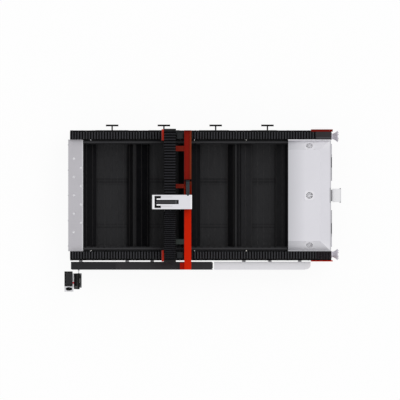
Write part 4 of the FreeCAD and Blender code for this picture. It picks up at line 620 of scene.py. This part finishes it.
def add_box(bm, low, high, material=0):
    """Box between two corners."""
    size = [(b - a) * MM for a, b in zip(low, high)]
    middle = [(a + b) / 2 * MM for a, b in zip(low, high)]
    matrix = Matrix.Translation(middle) @ Matrix.Diagonal((*size, 1.0))
    made = bmesh.ops.create_cube(bm, size=1.0, matrix=matrix)
    return give_material(made["verts"], material)


def lay(bm, before, matrix):
    """Moves what was drawn since `before` vertices to its place."""
    bm.verts.ensure_lookup_table()
    for vert in bm.verts[before:]:
        vert.co = matrix @ vert.co


def machine_box(bm, x0, x1, y0, y1, z0, z1, material=0):
    """Box between places on the machine."""
    return add_box(bm, machine(x0, y0, z0), machine(x1, y1, z1), material)


print("boxes ready")

# %% Rods and bolts
UP, FUME, FRONT = (0, 0, 1), (1, 0, 0), (0, -1, 0)


def add_rod(bm, start, end, radius, sides=16, material=0, end_radius=None):
    """Round bar from one point to another."""
    a, b = Vector(start) * MM, Vector(end) * MM
    turn = (b - a).to_track_quat("Z", "Y").to_matrix().to_4x4()
    matrix = Matrix.Translation((a + b) / 2) @ turn
    tip = radius if end_radius is None else end_radius
    made = bmesh.ops.create_cone(bm, cap_ends=True, segments=sides, radius1=radius * MM,
                                 radius2=tip * MM, depth=(b - a).length, matrix=matrix)
    return give_material(made["verts"], material)


def add_bolt(bm, place, out, radius, material=0):
    """Socket head: a short cylinder with a raised hexagon, standing out from a surface."""
    base, along = Vector(place), Vector(out).normalized()
    head = radius * 0.9
    add_rod(bm, base, base + along * head, radius, 14, material)
    add_rod(bm, base + along * (head - 0.2), base + along * (head + 0.3), radius * 0.55, 6,
            material)


def add_row(bm, first, last, count, out, radius, material=0):
    """Bolts from one place on the machine to another."""
    a, b = Vector(machine(*first)), Vector(machine(*last))
    for i in range(count):
        add_bolt(bm, a.lerp(b, i / max(1, count - 1)), out, radius, material)


print("rods and bolts ready")


# %% Rings of points, and the skin between them
def circle(sides):
    """Cosine and sine of evenly spaced angles."""
    angles = (2 * math.pi * k / sides for k in range(sides))
    return [(math.cos(angle), math.sin(angle)) for angle in angles]


def skin(bm, rings, material=0):
    """Faces from ring to ring, with the first and the last ring closed."""
    faces = []
    for a, b in zip(rings, rings[1:]):
        for k in range(len(a)):
            after = (k + 1) % len(a)
            faces.append(bm.faces.new((a[k], a[after], b[after], b[k])))
    faces += [bm.faces.new(list(reversed(rings[0]))), bm.faces.new(rings[-1])]
    for face in faces:
        face.material_index = material


print("rings ready")


# %% Tubes
def add_tube(bm, route, radius, sides=10, steps=8, material=0):
    """Cable along a smooth curve through the route's points."""
    points = [Vector(p) * MM for p in route]
    path = []
    for i in range(len(points) - 1):
        before = points[max(0, i - 1)]
        after = points[min(len(points) - 1, i + 2)]
        a, b = points[i], points[i + 1]
        for k in range(steps):
            t = k / steps
            path.append(0.5 * (2 * a + (b - before) * t
                               + (2 * before - 5 * a + 4 * b - after) * t * t
                               + (3 * a - before - 3 * b + after) * t ** 3))
    path.append(points[-1])
    steep = abs((path[1] - path[0]).normalized().z) >= 0.9
    normal = Vector((1, 0, 0)) if steep else Vector((0, 0, 1))
    rings = []
    for i, p in enumerate(path):
        ahead = (path[min(i + 1, len(path) - 1)] - path[max(i - 1, 0)]).normalized()
        normal = (normal - normal.dot(ahead) * ahead).normalized()
        side = ahead.cross(normal)
        rings.append([bm.verts.new(p + (normal * cos + side * sin) * radius * MM)
                      for cos, sin in circle(sides)])
    skin(bm, rings, material)


print("tubes ready")


# %% Turned shapes and cable glands
def add_turned(bm, outline, centre, sides=32, material=0):
    """Spins an outline of (radius, height) about the vertical through centre."""
    x, y = centre
    skin(bm, [[bm.verts.new(Vector((x + radius * cos, y + radius * sin, height)) * MM)
               for cos, sin in circle(sides)] for radius, height in outline], material)


def add_gland(bm, place, out, radius, material=0):
    """Cable gland: a hexagon nut and a short dome."""
    base, along = Vector(place), Vector(out).normalized()
    add_rod(bm, base, base + along * radius, radius * 1.5, 6, material)
    add_rod(bm, base + along * radius, base + along * radius * 2.2, radius * 1.25, 16, material,
            radius * 0.9)


print("turned shapes ready")

# %% [markdown]
# ## Folding way covers
#
# The long black concertinas keep dust off the guides. Each is a stitched pack of folds over
# stiffening frames: sharp ridges outside, deep valleys between. Each is one mesh, baked in place,
# and a weight is worked out for its points: 0 at the end that stays on the bed, 1 at the end on
# the gantry, and in proportion between.

# %% One concertina
SIDE_SINK, TOP_SINK = 9, 19      # how far a valley sinks at the sides and on top
CORNER = 10
# Along one fold: share of its length, share of the sink, and whether it belongs to the ridge.
FOLD_PROFILE = [(0.0, 1.0, 1), (0.27, 0.55, 1), (0.42, 0.06, 0), (0.58, 0.06, 0), (0.73, 0.55, 1)]


def way_section(y0, y1, z0, z1):
    """Outer line of the cover: up one side, over the chamfered corners, down the other."""
    near, low = CORNER * 0.35, CORNER * 0.3
    return [(y0, z0), (y0, z1 - CORNER), (y0 + near, z1 - low), (y0 + CORNER, z1),
            (y1 - CORNER, z1), (y1 - near, z1 - low), (y1, z1 - CORNER), (y1, z0)]


def add_folds(bm, start, end, folds, section):
    """Folds along X. section gives (y, z) of the outer line, foot to foot."""
    middle_y, foot = (section[0][0] + section[-1][0]) / 2, section[0][1]
    half = abs(section[0][0] - middle_y)
    rise = max(z for y, z in section) - foot
    step = (end - start) / folds
    stations = [(start + step * (i + t), sink, ridge)
                for i in range(folds) for t, sink, ridge in FOLD_PROFILE]
    rings = []
    for x, sink, ridge in stations + [(end, 1.0, 1)]:
        share, squash = (half - SIDE_SINK * sink) / half, (rise - TOP_SINK * sink) / rise
        rings.append(([bm.verts.new((x * MM, (middle_y + (y - middle_y) * share) * MM,
                                     (foot + (z - foot) * squash) * MM)) for y, z in section],
                      ridge))
    for (a, ridge_a), (b, ridge_b) in zip(rings, rings[1:]):
        for k in range(len(section) - 1):
            face = bm.faces.new((a[k], b[k], b[k + 1], a[k + 1]))
            # Faces between the ridges take the near-black valley cloth, which is painted shade in
            # the folds.
            face.material_index = 1 if ridge_a and ridge_b else 0


# %% Pieces baked in place, with a weight for each point along an axis
def within(share):
    return min(1.0, max(0.0, share))


def stretch_between(piece, fixed_body, moving_body, axis, fixed_at, moving_at, weights=None):
    """Bakes a piece in place; without weights, works them out growing evenly along the axis."""
    ends = [Vector((0, 0, 0)), Vector((0, 0, 0))]
    ends[0][axis], ends[1][axis] = fixed_at * MM, moving_at * MM
    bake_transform(piece)
    if weights is None:
        first = ends[0][axis]
        span = ends[1][axis] - first
        weights = [within((vert.co[axis] - first) / span) for vert in piece.data.vertices]


def put_cloth(name, bm, ridge):
    piece = put(name + "_cloth", bm, "cloth_valley " + ridge, None, (name,),
                smooth=False)
    shell = piece.modifiers.new("cloth", "SOLIDIFY")
    shell.thickness, shell.offset = 0.0012, -1
    return piece


# %% Way covers along the bed
LEFT_COVER = (BED_X - 2210, BED_X - 654, 33)      # start, end, folds
RIGHT_COVER = (BED_X - 127, BED_X + 1972, 45)
WAY_INNER, WAY_OUTER = 950.5, 1081.5
WAY_Z = (780.4, 899.5)


def bed_way_cover(name, start, end, folds, fixed_at, moving_at):
    bm = bmesh.new()
    for side in (-1, 1):
        y0, y1 = sorted((BED_Y + side * WAY_INNER, BED_Y + side * WAY_OUTER))
        add_folds(bm, start, end, folds, way_section(y0, y1, *WAY_Z))
    piece = put_cloth(name, bm, "cloth_ridge")
    stretch_between(piece, "bed", "gantry", 0, fixed_at, moving_at)


bed_way_cover("x_bellows_left", *LEFT_COVER, LEFT_COVER[0], LEFT_COVER[1])
bed_way_cover("x_bellows_right", *RIGHT_COVER, RIGHT_COVER[1], RIGHT_COVER[0])
print("bed covers", LEFT_COVER, RIGHT_COVER)

# %% [markdown]
# The beam has the same covers on top, one on each side of the head. They run along Y, so they are
# folded along X first and turned a quarter.

# %% Way covers along the gantry beam
BEAM_SIDES = (BED_X - 611.5, BED_X - 408.5)
BEAM_FRONT, BEAM_REAR = BED_Y - 1092, BED_Y + 1092
HEAD_FRONT, HEAD_REAR = BED_Y - 112 - 120.8, BED_Y - 112 + 120.8
BEAM_WAY_Z = (1160.4, 1261.5)


def beam_way_cover():
    bm = bmesh.new()
    section = way_section(-BEAM_SIDES[1], -BEAM_SIDES[0], *BEAM_WAY_Z)
    for start, end, folds in ((BEAM_FRONT, HEAD_FRONT, 25), (HEAD_REAR, BEAM_REAR, 23)):
        add_folds(bm, start, end, folds, section)
    quarter = Matrix.Rotation(math.radians(90), 3, "Z")
    bmesh.ops.rotate(bm, verts=bm.verts, cent=(0, 0, 0), matrix=quarter)
    piece = put_cloth("y_bellows", bm, "beam_cloth")
    front, rear, near, far = (y * MM for y in (BEAM_FRONT, BEAM_REAR, HEAD_FRONT, HEAD_REAR))
    weights = [within((y - front) / (near - front) if y < near + MM else (rear - y) / (rear - far))
               for y in (vert.co.y for vert in piece.data.vertices)]
    stretch_between(piece, "gantry", "carriage", 1, BEAM_FRONT, HEAD_FRONT, weights)


beam_way_cover()
print("beam covers", BEAM_SIDES, BEAM_FRONT, BEAM_REAR)

# %% [markdown]
# ## Drag chains
#
# A drag chain is a row of plastic links that rolls up on itself. Its loop moves half as far as its
# moving end, so the runs take weights from 0 to a half and from a half to 1, and the loop keeps
# a half all round. Each link is a frame of two side plates and a lid, bevelled, and stands
# a little apart from the next.

# %% One drag chain
LINK_HEIGHT = 24.0


def chain_run(first, last, height, pitch, turn, weight):
    """Links of a straight run: (along, height, turn, weight), whose weight grows by a half."""
    count = max(1, round(abs(last - first) / pitch))
    shares = [(i + 0.5) / count for i in range(count)]
    return [(first + (last - first) * t, height, turn, weight + 0.5 * t) for t in shares]


def chain_path(fixed, loop, moving, low, high, pitch):
    """Links from the fixed end, round the loop, to the moving end."""
    radius = (high - low) / 2
    side = 1 if loop > fixed else -1
    arc = max(3, round(math.pi * radius / pitch))
    bend = [(loop + side * radius * math.sin(angle), low + radius * (1 - math.cos(angle)),
             side * angle, 0.5) for angle in (math.pi * (i + 0.5) / arc for i in range(arc))]
    return (chain_run(fixed, loop, low, pitch, 0.0, 0.0) + bend
            + chain_run(loop, moving, high, pitch, math.pi * side, 0.5))


def add_link(bm, matrix, length, width):
    """Two side plates, a lid and a floor, with a pin boss on each side."""
    before = len(bm.verts)
    half, thick, pin = width / 2, 5.0, length * 0.32
    for side in (-1, 1):
        y0, y1 = sorted((side * half, side * (half - thick)))
        add_box(bm, (-length / 2, y0, -LINK_HEIGHT / 2), (length / 2, y1, LINK_HEIGHT / 2))
        add_rod(bm, (pin, side * (half - thick), 0), (pin, side * (half + 0.8), 0),
                LINK_HEIGHT * 0.3, 12)
    for side in (-1, 1):
        z0, z1 = sorted((side * LINK_HEIGHT / 2, side * (LINK_HEIGHT / 2 - 3)))
        add_box(bm, (-length * 0.5, -half + thick, z0), (length * 0.5, half - thick, z1))
    lay(bm, before, matrix)
    return len(bm.verts) - before


def drag_chain(name, stands_for, bodies, axis, across, ends, heights, pitch, width):
    """ends gives the fixed end, the loop and the moving end; heights the two runs' middles."""
    bm, weights = bmesh.new(), []
    quarter = Matrix.Rotation(math.radians(90) * axis, 4, "Z")
    for along, z, turn, weight in chain_path(*ends, *heights, pitch):
        x, y = (across, along) if axis else (along, across)
        place = (Matrix.Translation((x * MM, y * MM, z * MM)) @ quarter
                 @ Matrix.Rotation(-turn, 4, "Y"))
        weights += [weight] * add_link(bm, place, pitch * 0.9, width)
    piece = put(name, bm, "chain_plastic", None, (stands_for,), bevel=0.0012)
    stretch_between(piece, *bodies, axis, ends[0], ends[2], weights)


# %% The two chains
drag_chain("head_chain_links", "y_cable_chain", ("gantry", "carriage"), 1, BED_X - 207.5,
           (BED_Y - 140, BED_Y + 205, BED_Y - 229), (1027, 1111), 22.0, 62.0)
drag_chain("bed_chain_links", "x_cable_chain", ("bed", "gantry"), 0, BED_Y - 1197.5,
           (BED_X - 87, BED_X - 1214, BED_X - 560), (617, 700.5), 30.0, 54.0)
print("chains made")

# %% [markdown]
# ## The operator's console
#
# The keyboard gets real key caps: each is a short pyramid, narrower at the top, and the rows are
# staggered as on any keyboard. The mouse is a ball pressed into shape. The monitor is a thin case
# with a sunk glass, built upright and then leant back about its hinge pin.

# %% Key caps
POST = machine(-2085, -1457, 0)
TRAY_Z = 985
KEY_ROWS, KEY_WIDTH, SPACE_BAR = 6, 14.4, 84


def add_cap(bm, x0, x1, y0, y1, z0, z1, shrink, material=0):
    """Block that narrows towards its top."""
    verts = add_box(bm, (x0, y0, z0), (x1, y1, z1), material)
    middle = Vector(((x0 + x1) / 2 * MM, (y0 + y1) / 2 * MM, 0))
    size = Vector(((x1 - x0) * MM, (y1 - y0) * MM, 1))
    for vert in verts:
        if vert.co.z > (z0 + z1) / 2 * MM:
            for axis in (0, 1):
                share = 1 - 2 * shrink * MM / size[axis]
                vert.co[axis] = middle[axis] + (vert.co[axis] - middle[axis]) * share


def keyboard():
    bm = bmesh.new()
    x0, x1, y0, y1 = POST[0] - 201, POST[0] - 84, POST[1] - 71, POST[1] + 158
    add_box(bm, (x0, y0, TRAY_Z + 0.3), (x1, y1, TRAY_Z + 9))
    add_box(bm, (x0 + 2, y0 + 2, TRAY_Z + 8.5), (x1 - 2, y1 - 2, TRAY_Z + 11))
    keys, pitch = 0, (x1 - x0 - 10) / KEY_ROWS
    for row in range(KEY_ROWS):
        along, left = y0 + 6 + (row % 3) * 3.5, x0 + 5 + pitch * row
        while along < y1 - 16:
            space = row == KEY_ROWS - 1 and y0 + 60 < along < y0 + 75
            wide = min(SPACE_BAR if space else KEY_WIDTH, y1 - 6 - along)
            add_cap(bm, left + 0.8, left + pitch - 0.8, along + 0.8, along + wide - 0.8,
                    TRAY_Z + 10.5, TRAY_Z + 16.2, 1.6, 1)
            along, keys = along + wide, keys + 1
    put("keyboard_caps", bm, "black_plastic key_plastic", "bed", ("keyboard",),
        bevel=0.0006)
    return keys


print("keys", keyboard())


# %% Mouse
def mouse():
    """Squashed ball: flat below, highest under the palm, with a wheel between two buttons."""
    bm = bmesh.new()
    low, length, width, height = TRAY_Z - 2, 110, 58, 34
    middle = (POST[0] - 141, POST[1] - 130)
    made = bmesh.ops.create_uvsphere(bm, u_segments=40, v_segments=24, radius=1.0)
    for vert in made["verts"]:
        x, y, z = vert.co
        square = (abs(x) ** 2.6 + abs(y) ** 2.6) ** (1 / 2.6)
        plump = (x * x + y * y) ** 0.5 / square if square > 0.001 else 1.0
        palm = 0.86 - 0.14 * math.cos(math.pi * (0.5 + 0.42 * x))
        x, y = x * plump * 0.97, y * plump * (0.93 - 0.07 * x * x)
        split = 1.2 if abs(y) < 0.05 and x > 0.15 else 0.0
        vert.co = (MM * (middle[0] + x * length / 2), MM * (middle[1] + y * width / 2),
                   MM * (low + max(0.4, (z * palm + 0.12) * height * 0.98 - split)))
    x, y, z = middle[0] + 30, middle[1], low + height * 0.62
    add_rod(bm, (x, y - 3.5, z), (x, y + 3.5, z), 9, 24, 1)
    put("mouse_shell", bm, "black_plastic rubber", "bed", ("mouse",))


mouse()
print("mouse made")


# %% Monitor
def monitor():
    """Thin case with a raised rim round the glass, vents behind, hinge lugs and a seam."""
    bm = bmesh.new()
    half, low, high, front, back = 131, 20, 320, -60, -20
    add_box(bm, (front + 4, -half + 2, low + 2), (back - 8, half - 2, high - 2))
    add_box(bm, (back - 9, -half + 26, low + 30), (back, half - 26, high - 30))
    for y0, y1, z0, z1 in ((-half, half, high - 12, high), (-half, half, low, low + 12),
                           (-half, -half + 12, low + 11, high - 11),
                           (half - 12, half, low + 11, high - 11)):
        add_box(bm, (front, y0, z0), (back - 14, y1, z1))
    add_box(bm, (front + 3, -half + 11, low + 11), (front + 4.5, half - 11, high - 11), 1)
    add_box(bm, (front + 10, -half + 6, high - 1), (back - 16, -half + 24, high + 0.6), 2)
    for i in range(12):
        for z in (low + 60 + i * 7, low + 170 + i * 7):
            add_box(bm, (back - 0.5, -60, z), (back + 0.6, 60, z + 3), 2)
    add_box(bm, (back - 1, -50, 30), (back + 3, 50, 74), 3)
    for side in (-1, 1):
        y0, y1 = sorted((side * 35.5, side * 45))
        add_box(bm, (back - 1, y0, -10), (12, y1, 58))
        add_rod(bm, (0, side * 45, 0), (0, side * 49, 0), 9, 20, 3)
        for z in (36, 66):
            add_bolt(bm, (back + 3, side * 40, z), FUME, 3.5, 3)
    pin = Vector((POST[0], POST[1], 1060)) * MM
    lean = Matrix.Rotation(math.radians(14), 4, "Y")
    bmesh.ops.transform(bm, matrix=Matrix.Translation(pin) @ lean, verts=bm.verts)
    put("monitor_case", bm, "black_plastic screen_glass rubber manifold_paint", "monitor",
        ("monitor",), bevel=0.0015)


monitor()
print("monitor made")


# %% Console screws
def console_screws():
    bm = bmesh.new()
    x, y, _ = POST
    for sx in (-1, 1):
        for sy in (-1, 1):
            add_bolt(bm, (x - 60 + sx * 96, y + sy * 100, 12), UP, 9)
            add_bolt(bm, (x + sx * 35, y + sy * 22, 160 + 520 * (sx > 0)), (sx, 0, 0), 4)
    for z in (700, 820):
        add_bolt(bm, (x - 35, y, z), (-1, 0, 0), 6)
    put("console_bolts", bm, "bolt_steel", "bed")


console_screws()
print("console screws made")

# %% Rim round the keyboard
rim = bmesh.new()
for x0, x1, y0, y1 in ((-2301, -2165, -1299, -1290), (-2301, -2165, -1541, -1529),
                       (-2301, -2287, -1530, -1298), (-2168, -2162, -1530, -1298)):
    machine_box(rim, x0, x1, y0, y1, 989.5, 999)
put("keyboard_rim", rim, "black_plastic", "bed", bevel=0.0015)
print("keyboard rim made")

# %% [markdown]
# ## Bolts and small fittings
#
# Nothing says "machine" like screws in the right places: rows along a flange, one in each corner
# of a cover. A row is given by its first and last place, and `add_bolt` makes each head with its
# hexagon.

# %% Bolts of the bed
def bed_bolts():
    bm = bmesh.new()
    for side in (1, -1):
        for z, count, radius in ((770, 24, 7), (590, 12, 9)):
            add_row(bm, (-2180, side * 1102, z), (1850, side * 1102, z), count, (0, side, 0),
                    radius)
        add_row(bm, (-2190, side * 1094, 780), (2150, side * 1094, 780), 26, UP, 4, 2)
    for y in (-860, -430, 0, 430, 860):
        add_row(bm, (-2241, y, 770), (-2241, y, 640), 2, (-1, 0, 0), 7)
    for side in (-1, 1):
        for x in (-1861.5, -95, 783.7):
            add_bolt(bm, machine(x, side * 950, 764), (0, -side, 0), 10, 1)
    for x, y, radius in ((-1848, -938, 6), (-93, 934, 5), (-93, -938, 5), (790, 942, 8),
                         (790, -938, 9)):
        add_rod(bm, machine(x, y, 755), machine(x, y, 782), radius, 20, 3)
    put("bed_bolts", bm, "bolt_steel chrome_ball black_oxide ceramic", "bed")


bed_bolts()
print("bed bolts made")

# %% Entry strip on the loading plate
finish("strip_steel", (206, 205, 209), 0.35, metal=0.2, grain=(6.0, 700.0, 0.0001))
finish("strip_screw", (190, 189, 193), 0.3, metal=0.3)
strip = bmesh.new()
machine_box(strip, -2008, -1990, -938, 938, 799.4, 800.8)
for i in range(14):
    x, y, z = machine(-1999, -900 + i * 1800 / 13, 800.8)
    add_rod(strip, (x, y, z), (x, y, 801.2), 5, 20, 1)
put("entry_strip", strip, "strip_steel strip_screw", "bed", bevel=0.0003)
print("entry strip made")

# %% [markdown]
# ## On the gantry
#
# Every motor needs its plug and every cover its screws. A cable enters a box through a gland, a
# hexagon nut with a dome. The sensor box has the only cable that shows: both its ends ride on the
# gantry, so no joint ever stretches it.

# %% Motors' plugs
def motor_plugs():
    bm = bmesh.new()
    for side in (-1, 1):
        x, y, _ = machine(-340, side * 1012, 0)
        for dx in (-41, 41):
            for dy in (-41, 41):
                add_bolt(bm, (x + dx, y + dy, 867), UP, 5, 1)
        add_box(bm, (x - 34, y - 34, 1007.6), (x + 34, y + 34, 1008.6), 2)
        add_gland(bm, (x, y - 63, 986), FRONT, 9)
    put("motor_plugs", bm, "rubber bolt_steel motor_grey", "gantry")


motor_plugs()
print("motor plugs made")


# %% Screws on the channel, the caps and the flanges
def gantry_screws():
    bm = bmesh.new()
    for x in (-261, -154):
        add_row(bm, (x, -1250, 1093), (x, -160, 1093), 12, UP, 3.5, 1)
    for y, reach in ((795, 32), (158, 23)):
        for x in (-400, -290):
            for dy in (-reach, reach):
                add_bolt(bm, machine(x, y + dy, 1075), UP, 5, 1)
    for side in (-1, 1):
        for x in (-590, -430):
            for z in (970, 1060, 1150):
                add_bolt(bm, machine(x, side * 1124, z), (0, side, 0), 5)
        for y in (970, 1075):
            add_row(bm, (-654, side * y, 893), (-654, side * y, 800), 2, (-1, 0, 0), 4)
        for x in (-400, -180):
            for y in (975, 1070):
                add_bolt(bm, machine(x, side * y, 960), UP, 6)
    put("gantry_screws", bm, "black_oxide screw_red", "gantry")


gantry_screws()
print("gantry screws made")


# %% Sensor box: lid, screws and its cable
def sensor_lid():
    bm = bmesh.new()
    x0, y0, _ = machine(-404, -824, 0)
    x1, y1, _ = machine(-274, -747, 0)
    add_box(bm, (x0, y0, 1082.6), (x1, y1, 1085), 1)
    for x in (x0 + 8, x1 - 8):
        for y in (y0 + 8, y1 - 8):
            add_bolt(bm, (x, y, 1085), UP, 3)
    x, y = (x0 + x1) / 2, y0 - 6
    add_gland(bm, (x, y, 1056), FRONT, 7, 2)
    add_tube(bm, [(x, y - 14, 1056), (x, y - 40, 1050), (x + 30, y - 64, 1046),
                  (BED_X - 267, y - 66, 1046)], 3.5, 8, 6, 2)
    put("sensor_lid", bm, "black_oxide sensor_paint rubber", "gantry", bevel=0.0006)


sensor_lid()
print("sensor box dressed")

# %% [markdown]
# ## The cutting head
#
# The beam comes down a fibre into the collimator, and gas comes in beside it. The nozzle is
# copper in a white ceramic ring. These ride on the slide, which the lift motor moves.

# %% Nozzle, ceramic ring and bands
def nozzle_set():
    bm = bmesh.new()
    x, y, _ = machine(-724, -112, 0)
    add_turned(bm, [(3.2, 849.9), (12.3, 865.8), (12.4, 874.2)], (x, y))
    add_turned(bm, [(12.5, 874.2), (22.4, 874.2), (25.4, 884), (25.4, 900.2), (25, 900.3)],
               (x, y), 32, 1)
    for z in (1000, 1010, 1110, 1180):
        add_turned(bm, [(38, z), (38.8, z + 0.8), (38.8, z + 3.2), (38, z + 4)], (x, y), 40, 2)
    for z in (920, 980):
        add_turned(bm, [(31, z), (32, z + 1), (32, z + 7), (31, z + 8)], (x, y), 40, 2)
    for angle in (70, 180, 290):
        out = (math.cos(math.radians(angle)), math.sin(math.radians(angle)), 0)
        for z, radius in ((940, 31), (1060, 38), (1150, 38)):
            add_bolt(bm, (x + out[0] * radius, y + out[1] * radius, z), out, 3, 2)
    add_gland(bm, (x - 28, y - 14, 960), (-0.8, -0.4, 0.4), 6, 3)
    put("nozzle_set", bm, "copper ceramic black_oxide brass", "z_slide")


nozzle_set()
print("head dressed")

# %% Brush seals along the slot in the head's cover
SLOT_Y, SLOT_HALF = -112, 35.8
brushes = bmesh.new()
for low, high in ((-SLOT_HALF, -8), (8, SLOT_HALF)):
    machine_box(brushes, -733, -362, SLOT_Y + low, SLOT_Y + high, 1496.9, 1499)
machine_box(brushes, -384, -361, SLOT_Y - 9, SLOT_Y + 9, 1497, 1499)
for x in (-413, -391):
    machine_box(brushes, x - 4, x + 4, SLOT_Y - SLOT_HALF, SLOT_Y + SLOT_HALF, 1498.5, 1499.6, 1)
put("slot_brushes", brushes, "brush_black manifold_paint", "carriage")
print("brush seals made")

# %% [markdown]
# ## Covers, fans and trough
#
# Folded sheet shows itself by its edges: a turned-up flange beside the rail, a lid that stops short
# of the side wall, a row of pressed louvres, a screw in each corner. These pieces are thin, and
# each starts inside the sheet that it is fixed to, so that nothing floats.

# %% Flanges along the end cover
# The flange on the front side takes a darker grey, which is painted shade.
powder("cover_trim", (246, 245, 249), 0.4,
       zones=(((1400, -1000, 700), (2300, -900, 1000), (176, 176, 180), 3),))
flanges = bmesh.new()
for side in (-1, 1):
    outer = side * 949.6
    for inner, foot in ((outer - side * 2.0, 796), (side * 935.0, 890)):
        machine_box(flanges, 1497, 2224, *sorted((outer, inner)), foot, 892)
put("cover_flanges", flanges, "cover_trim", "bed", bevel=0.0006)
print("cover flanges made")

# %% Guard screws and fan hubs
FAN_X, FAN_SIDE_Y, ROOF_TOP = 1860.0, 842.0, 945.0
RIDGE_Y, ROOF_FALL = 774.7, 150.0 / 175.0


def fan_place(side):
    """Matrix that lays a piece drawn around the origin on the roof over one fan."""
    height = ROOF_TOP - (FAN_SIDE_Y - RIDGE_Y) * ROOF_FALL * abs(side)
    lean = -side * math.atan(ROOF_FALL)
    place = Vector(machine(FAN_X, side * FAN_SIDE_Y, height)) * MM
    return Matrix.Translation(place) @ Matrix.Rotation(lean, 4, "X")


screws = bmesh.new()
for side in (-1, 0, 1):
    before = len(screws.verts)
    for x in (-75, 75):
        for y in (-75, 75):
            add_bolt(screws, (x, y, 2.8), UP, 3.5)
    lay(screws, before, fan_place(side))
put("guard_screws", screws, "bolt_steel", "bed")

for name, side in (("front", -1), ("middle", 0), ("rear", 1)):
    hub = bmesh.new()
    add_rod(hub, (0, 0, -8.2), (0, 0, -7.4), 17, 40)
    add_rod(hub, (0, 0, -7.6), (0, 0, -6.6), 5, 24, 1)
    lay(hub, 0, fan_place(side))
    put("fan_hub_" + name, hub, "rotor_grey bolt_steel", "fan_rotor_" + name,
        bevel=0.0003)
print("fans dressed")

# %% Louvres, grips and screws on the service doors
DOOR_Y, GRIP_Z = 563, 430      # middle of a door, and of the bar handle in it
finish("grip_rubber", (70, 70, 74), 0.7, grain=RUBBER_SPECKS, shine=0.2)
for name, side in (("rear", 1), ("front", -1)):
    door, middle = bmesh.new(), side * DOOR_Y
    for i in range(9):
        z = 540 + 13 * i
        for vert in machine_box(door, 2233.2, 2237, middle - 130, middle + 130, z, z + 5):
            if vert.co.z > (z + 2.5) * MM:
                vert.co.x = min(vert.co.x, (2233.8 + BED_X) * MM)
    for y in (-280, 280):
        for z in (366, 640):
            add_bolt(door, machine(2233.3, middle + y, z), FUME, 4, 1)
    for end in (-1, 1):
        x, y, z = machine(2247, middle + end * 88.4, GRIP_Z)
        add_rod(door, (x, y, z), (x, y + end * 2.0, z), 6.2, 20, 1)
    add_rod(door, machine(2238, middle - 88, 690), machine(2238, middle + 88, 690), 8.8, 32, 2)
    put("door_louvres_" + name, door, "cover_grey black_oxide grip_rubber",
        "service_door_" + name)
print("doors dressed")

# %% Duct: bolts behind its flange, and a gasket round its neck
duct = bmesh.new()
for y in (-116, 116):
    for z in (441, 679):
        add_rod(duct, machine(2383, y, z), machine(2394.2, y, z), 9, 6)
        add_rod(duct, machine(2390, y, z), machine(2402, y, z), 5.4, 12)
for y0, y1, z0, z1 in ((-105, 105, 660, 668), (-105, 105, 452, 460), (-105, -97, 452, 668),
                       (97, 105, 452, 668)):
    machine_box(duct, 2228, 2233, y0, y1, z0, z1, 1)
put("duct_fixings", duct, "bolt_steel rubber", "bed", bevel=0.0004)
print("duct dressed")

# %% Bolts on the lifting bollards' faces
bollards = bmesh.new()
for side in (-1, 1):
    x, y, z = machine(2235 + 114, side * 1005, 670)
    for cos, sin in circle(6):
        add_bolt(bollards, (x - 0.2, y + 62 * cos, z + 62 * sin), FUME, 9)
    add_rod(bollards, (x - 1, y, z), (x + 1.5, y, z), 30, 40)
put("bollard_bolts", bollards, "bolt_steel", "bed", bevel=0.0005)
print("bollards dressed")

# %% Grips on the drawers' T handles
FIRST_HANDLE_X, HANDLE_PITCH = -1502, 885
HANDLE_Y, HANDLE_Z = 1196.2, 285
finish("handle_rubber", (12, 12, 13), 0.6, grain=RUBBER_SPECKS, shine=0.1)
for index in range(4):
    middle = FIRST_HANDLE_X + HANDLE_PITCH * index
    grip = bmesh.new()
    add_rod(grip, machine(middle - 104, HANDLE_Y, HANDLE_Z),
            machine(middle + 104, HANDLE_Y, HANDLE_Z), 14.8, 32)
    for end in (-1, 1):
        add_rod(grip, machine(middle + end * 103, 1195, HANDLE_Z),
                machine(middle + end * 106.5, 1195, HANDLE_Z), 16, 32)
    put("drawer_grip_%d" % (index + 1), grip, "handle_rubber", "slag_drawer_%d" % (index + 1),
        bevel=0.001)
print("drawer grips made")

# %% Trough lids with their screws
LID_TOP = 721.6
lids = bmesh.new()
for x0, x1, coat, screw in ((-2184, -1474, 0, 2), (-1432, 218, 0, 2), (243, 1786, 1, 3)):
    machine_box(lids, x0, x1, -1244, -1141, 719.6, LID_TOP, coat)
    count = round((x1 - x0) / 240)
    for y in (-1238, -1147):
        for i in range(count + 1):
            x = x0 + 8 + (x1 - x0 - 16) * i / count
            add_bolt(lids, machine(x, y, LID_TOP), UP, 2.5, screw)
for x0, x1, coat in ((-2184, 218, 4), (243, 1786, 1)):
    machine_box(lids, x0, x1, -1264.5, -1257.5, 703, 719.5, coat)
put("trough_lids", lids, "trough_black trough_grey black_oxide bolt_steel beam_paint", "bed",
    bevel=0.0005)
print("trough lids made")
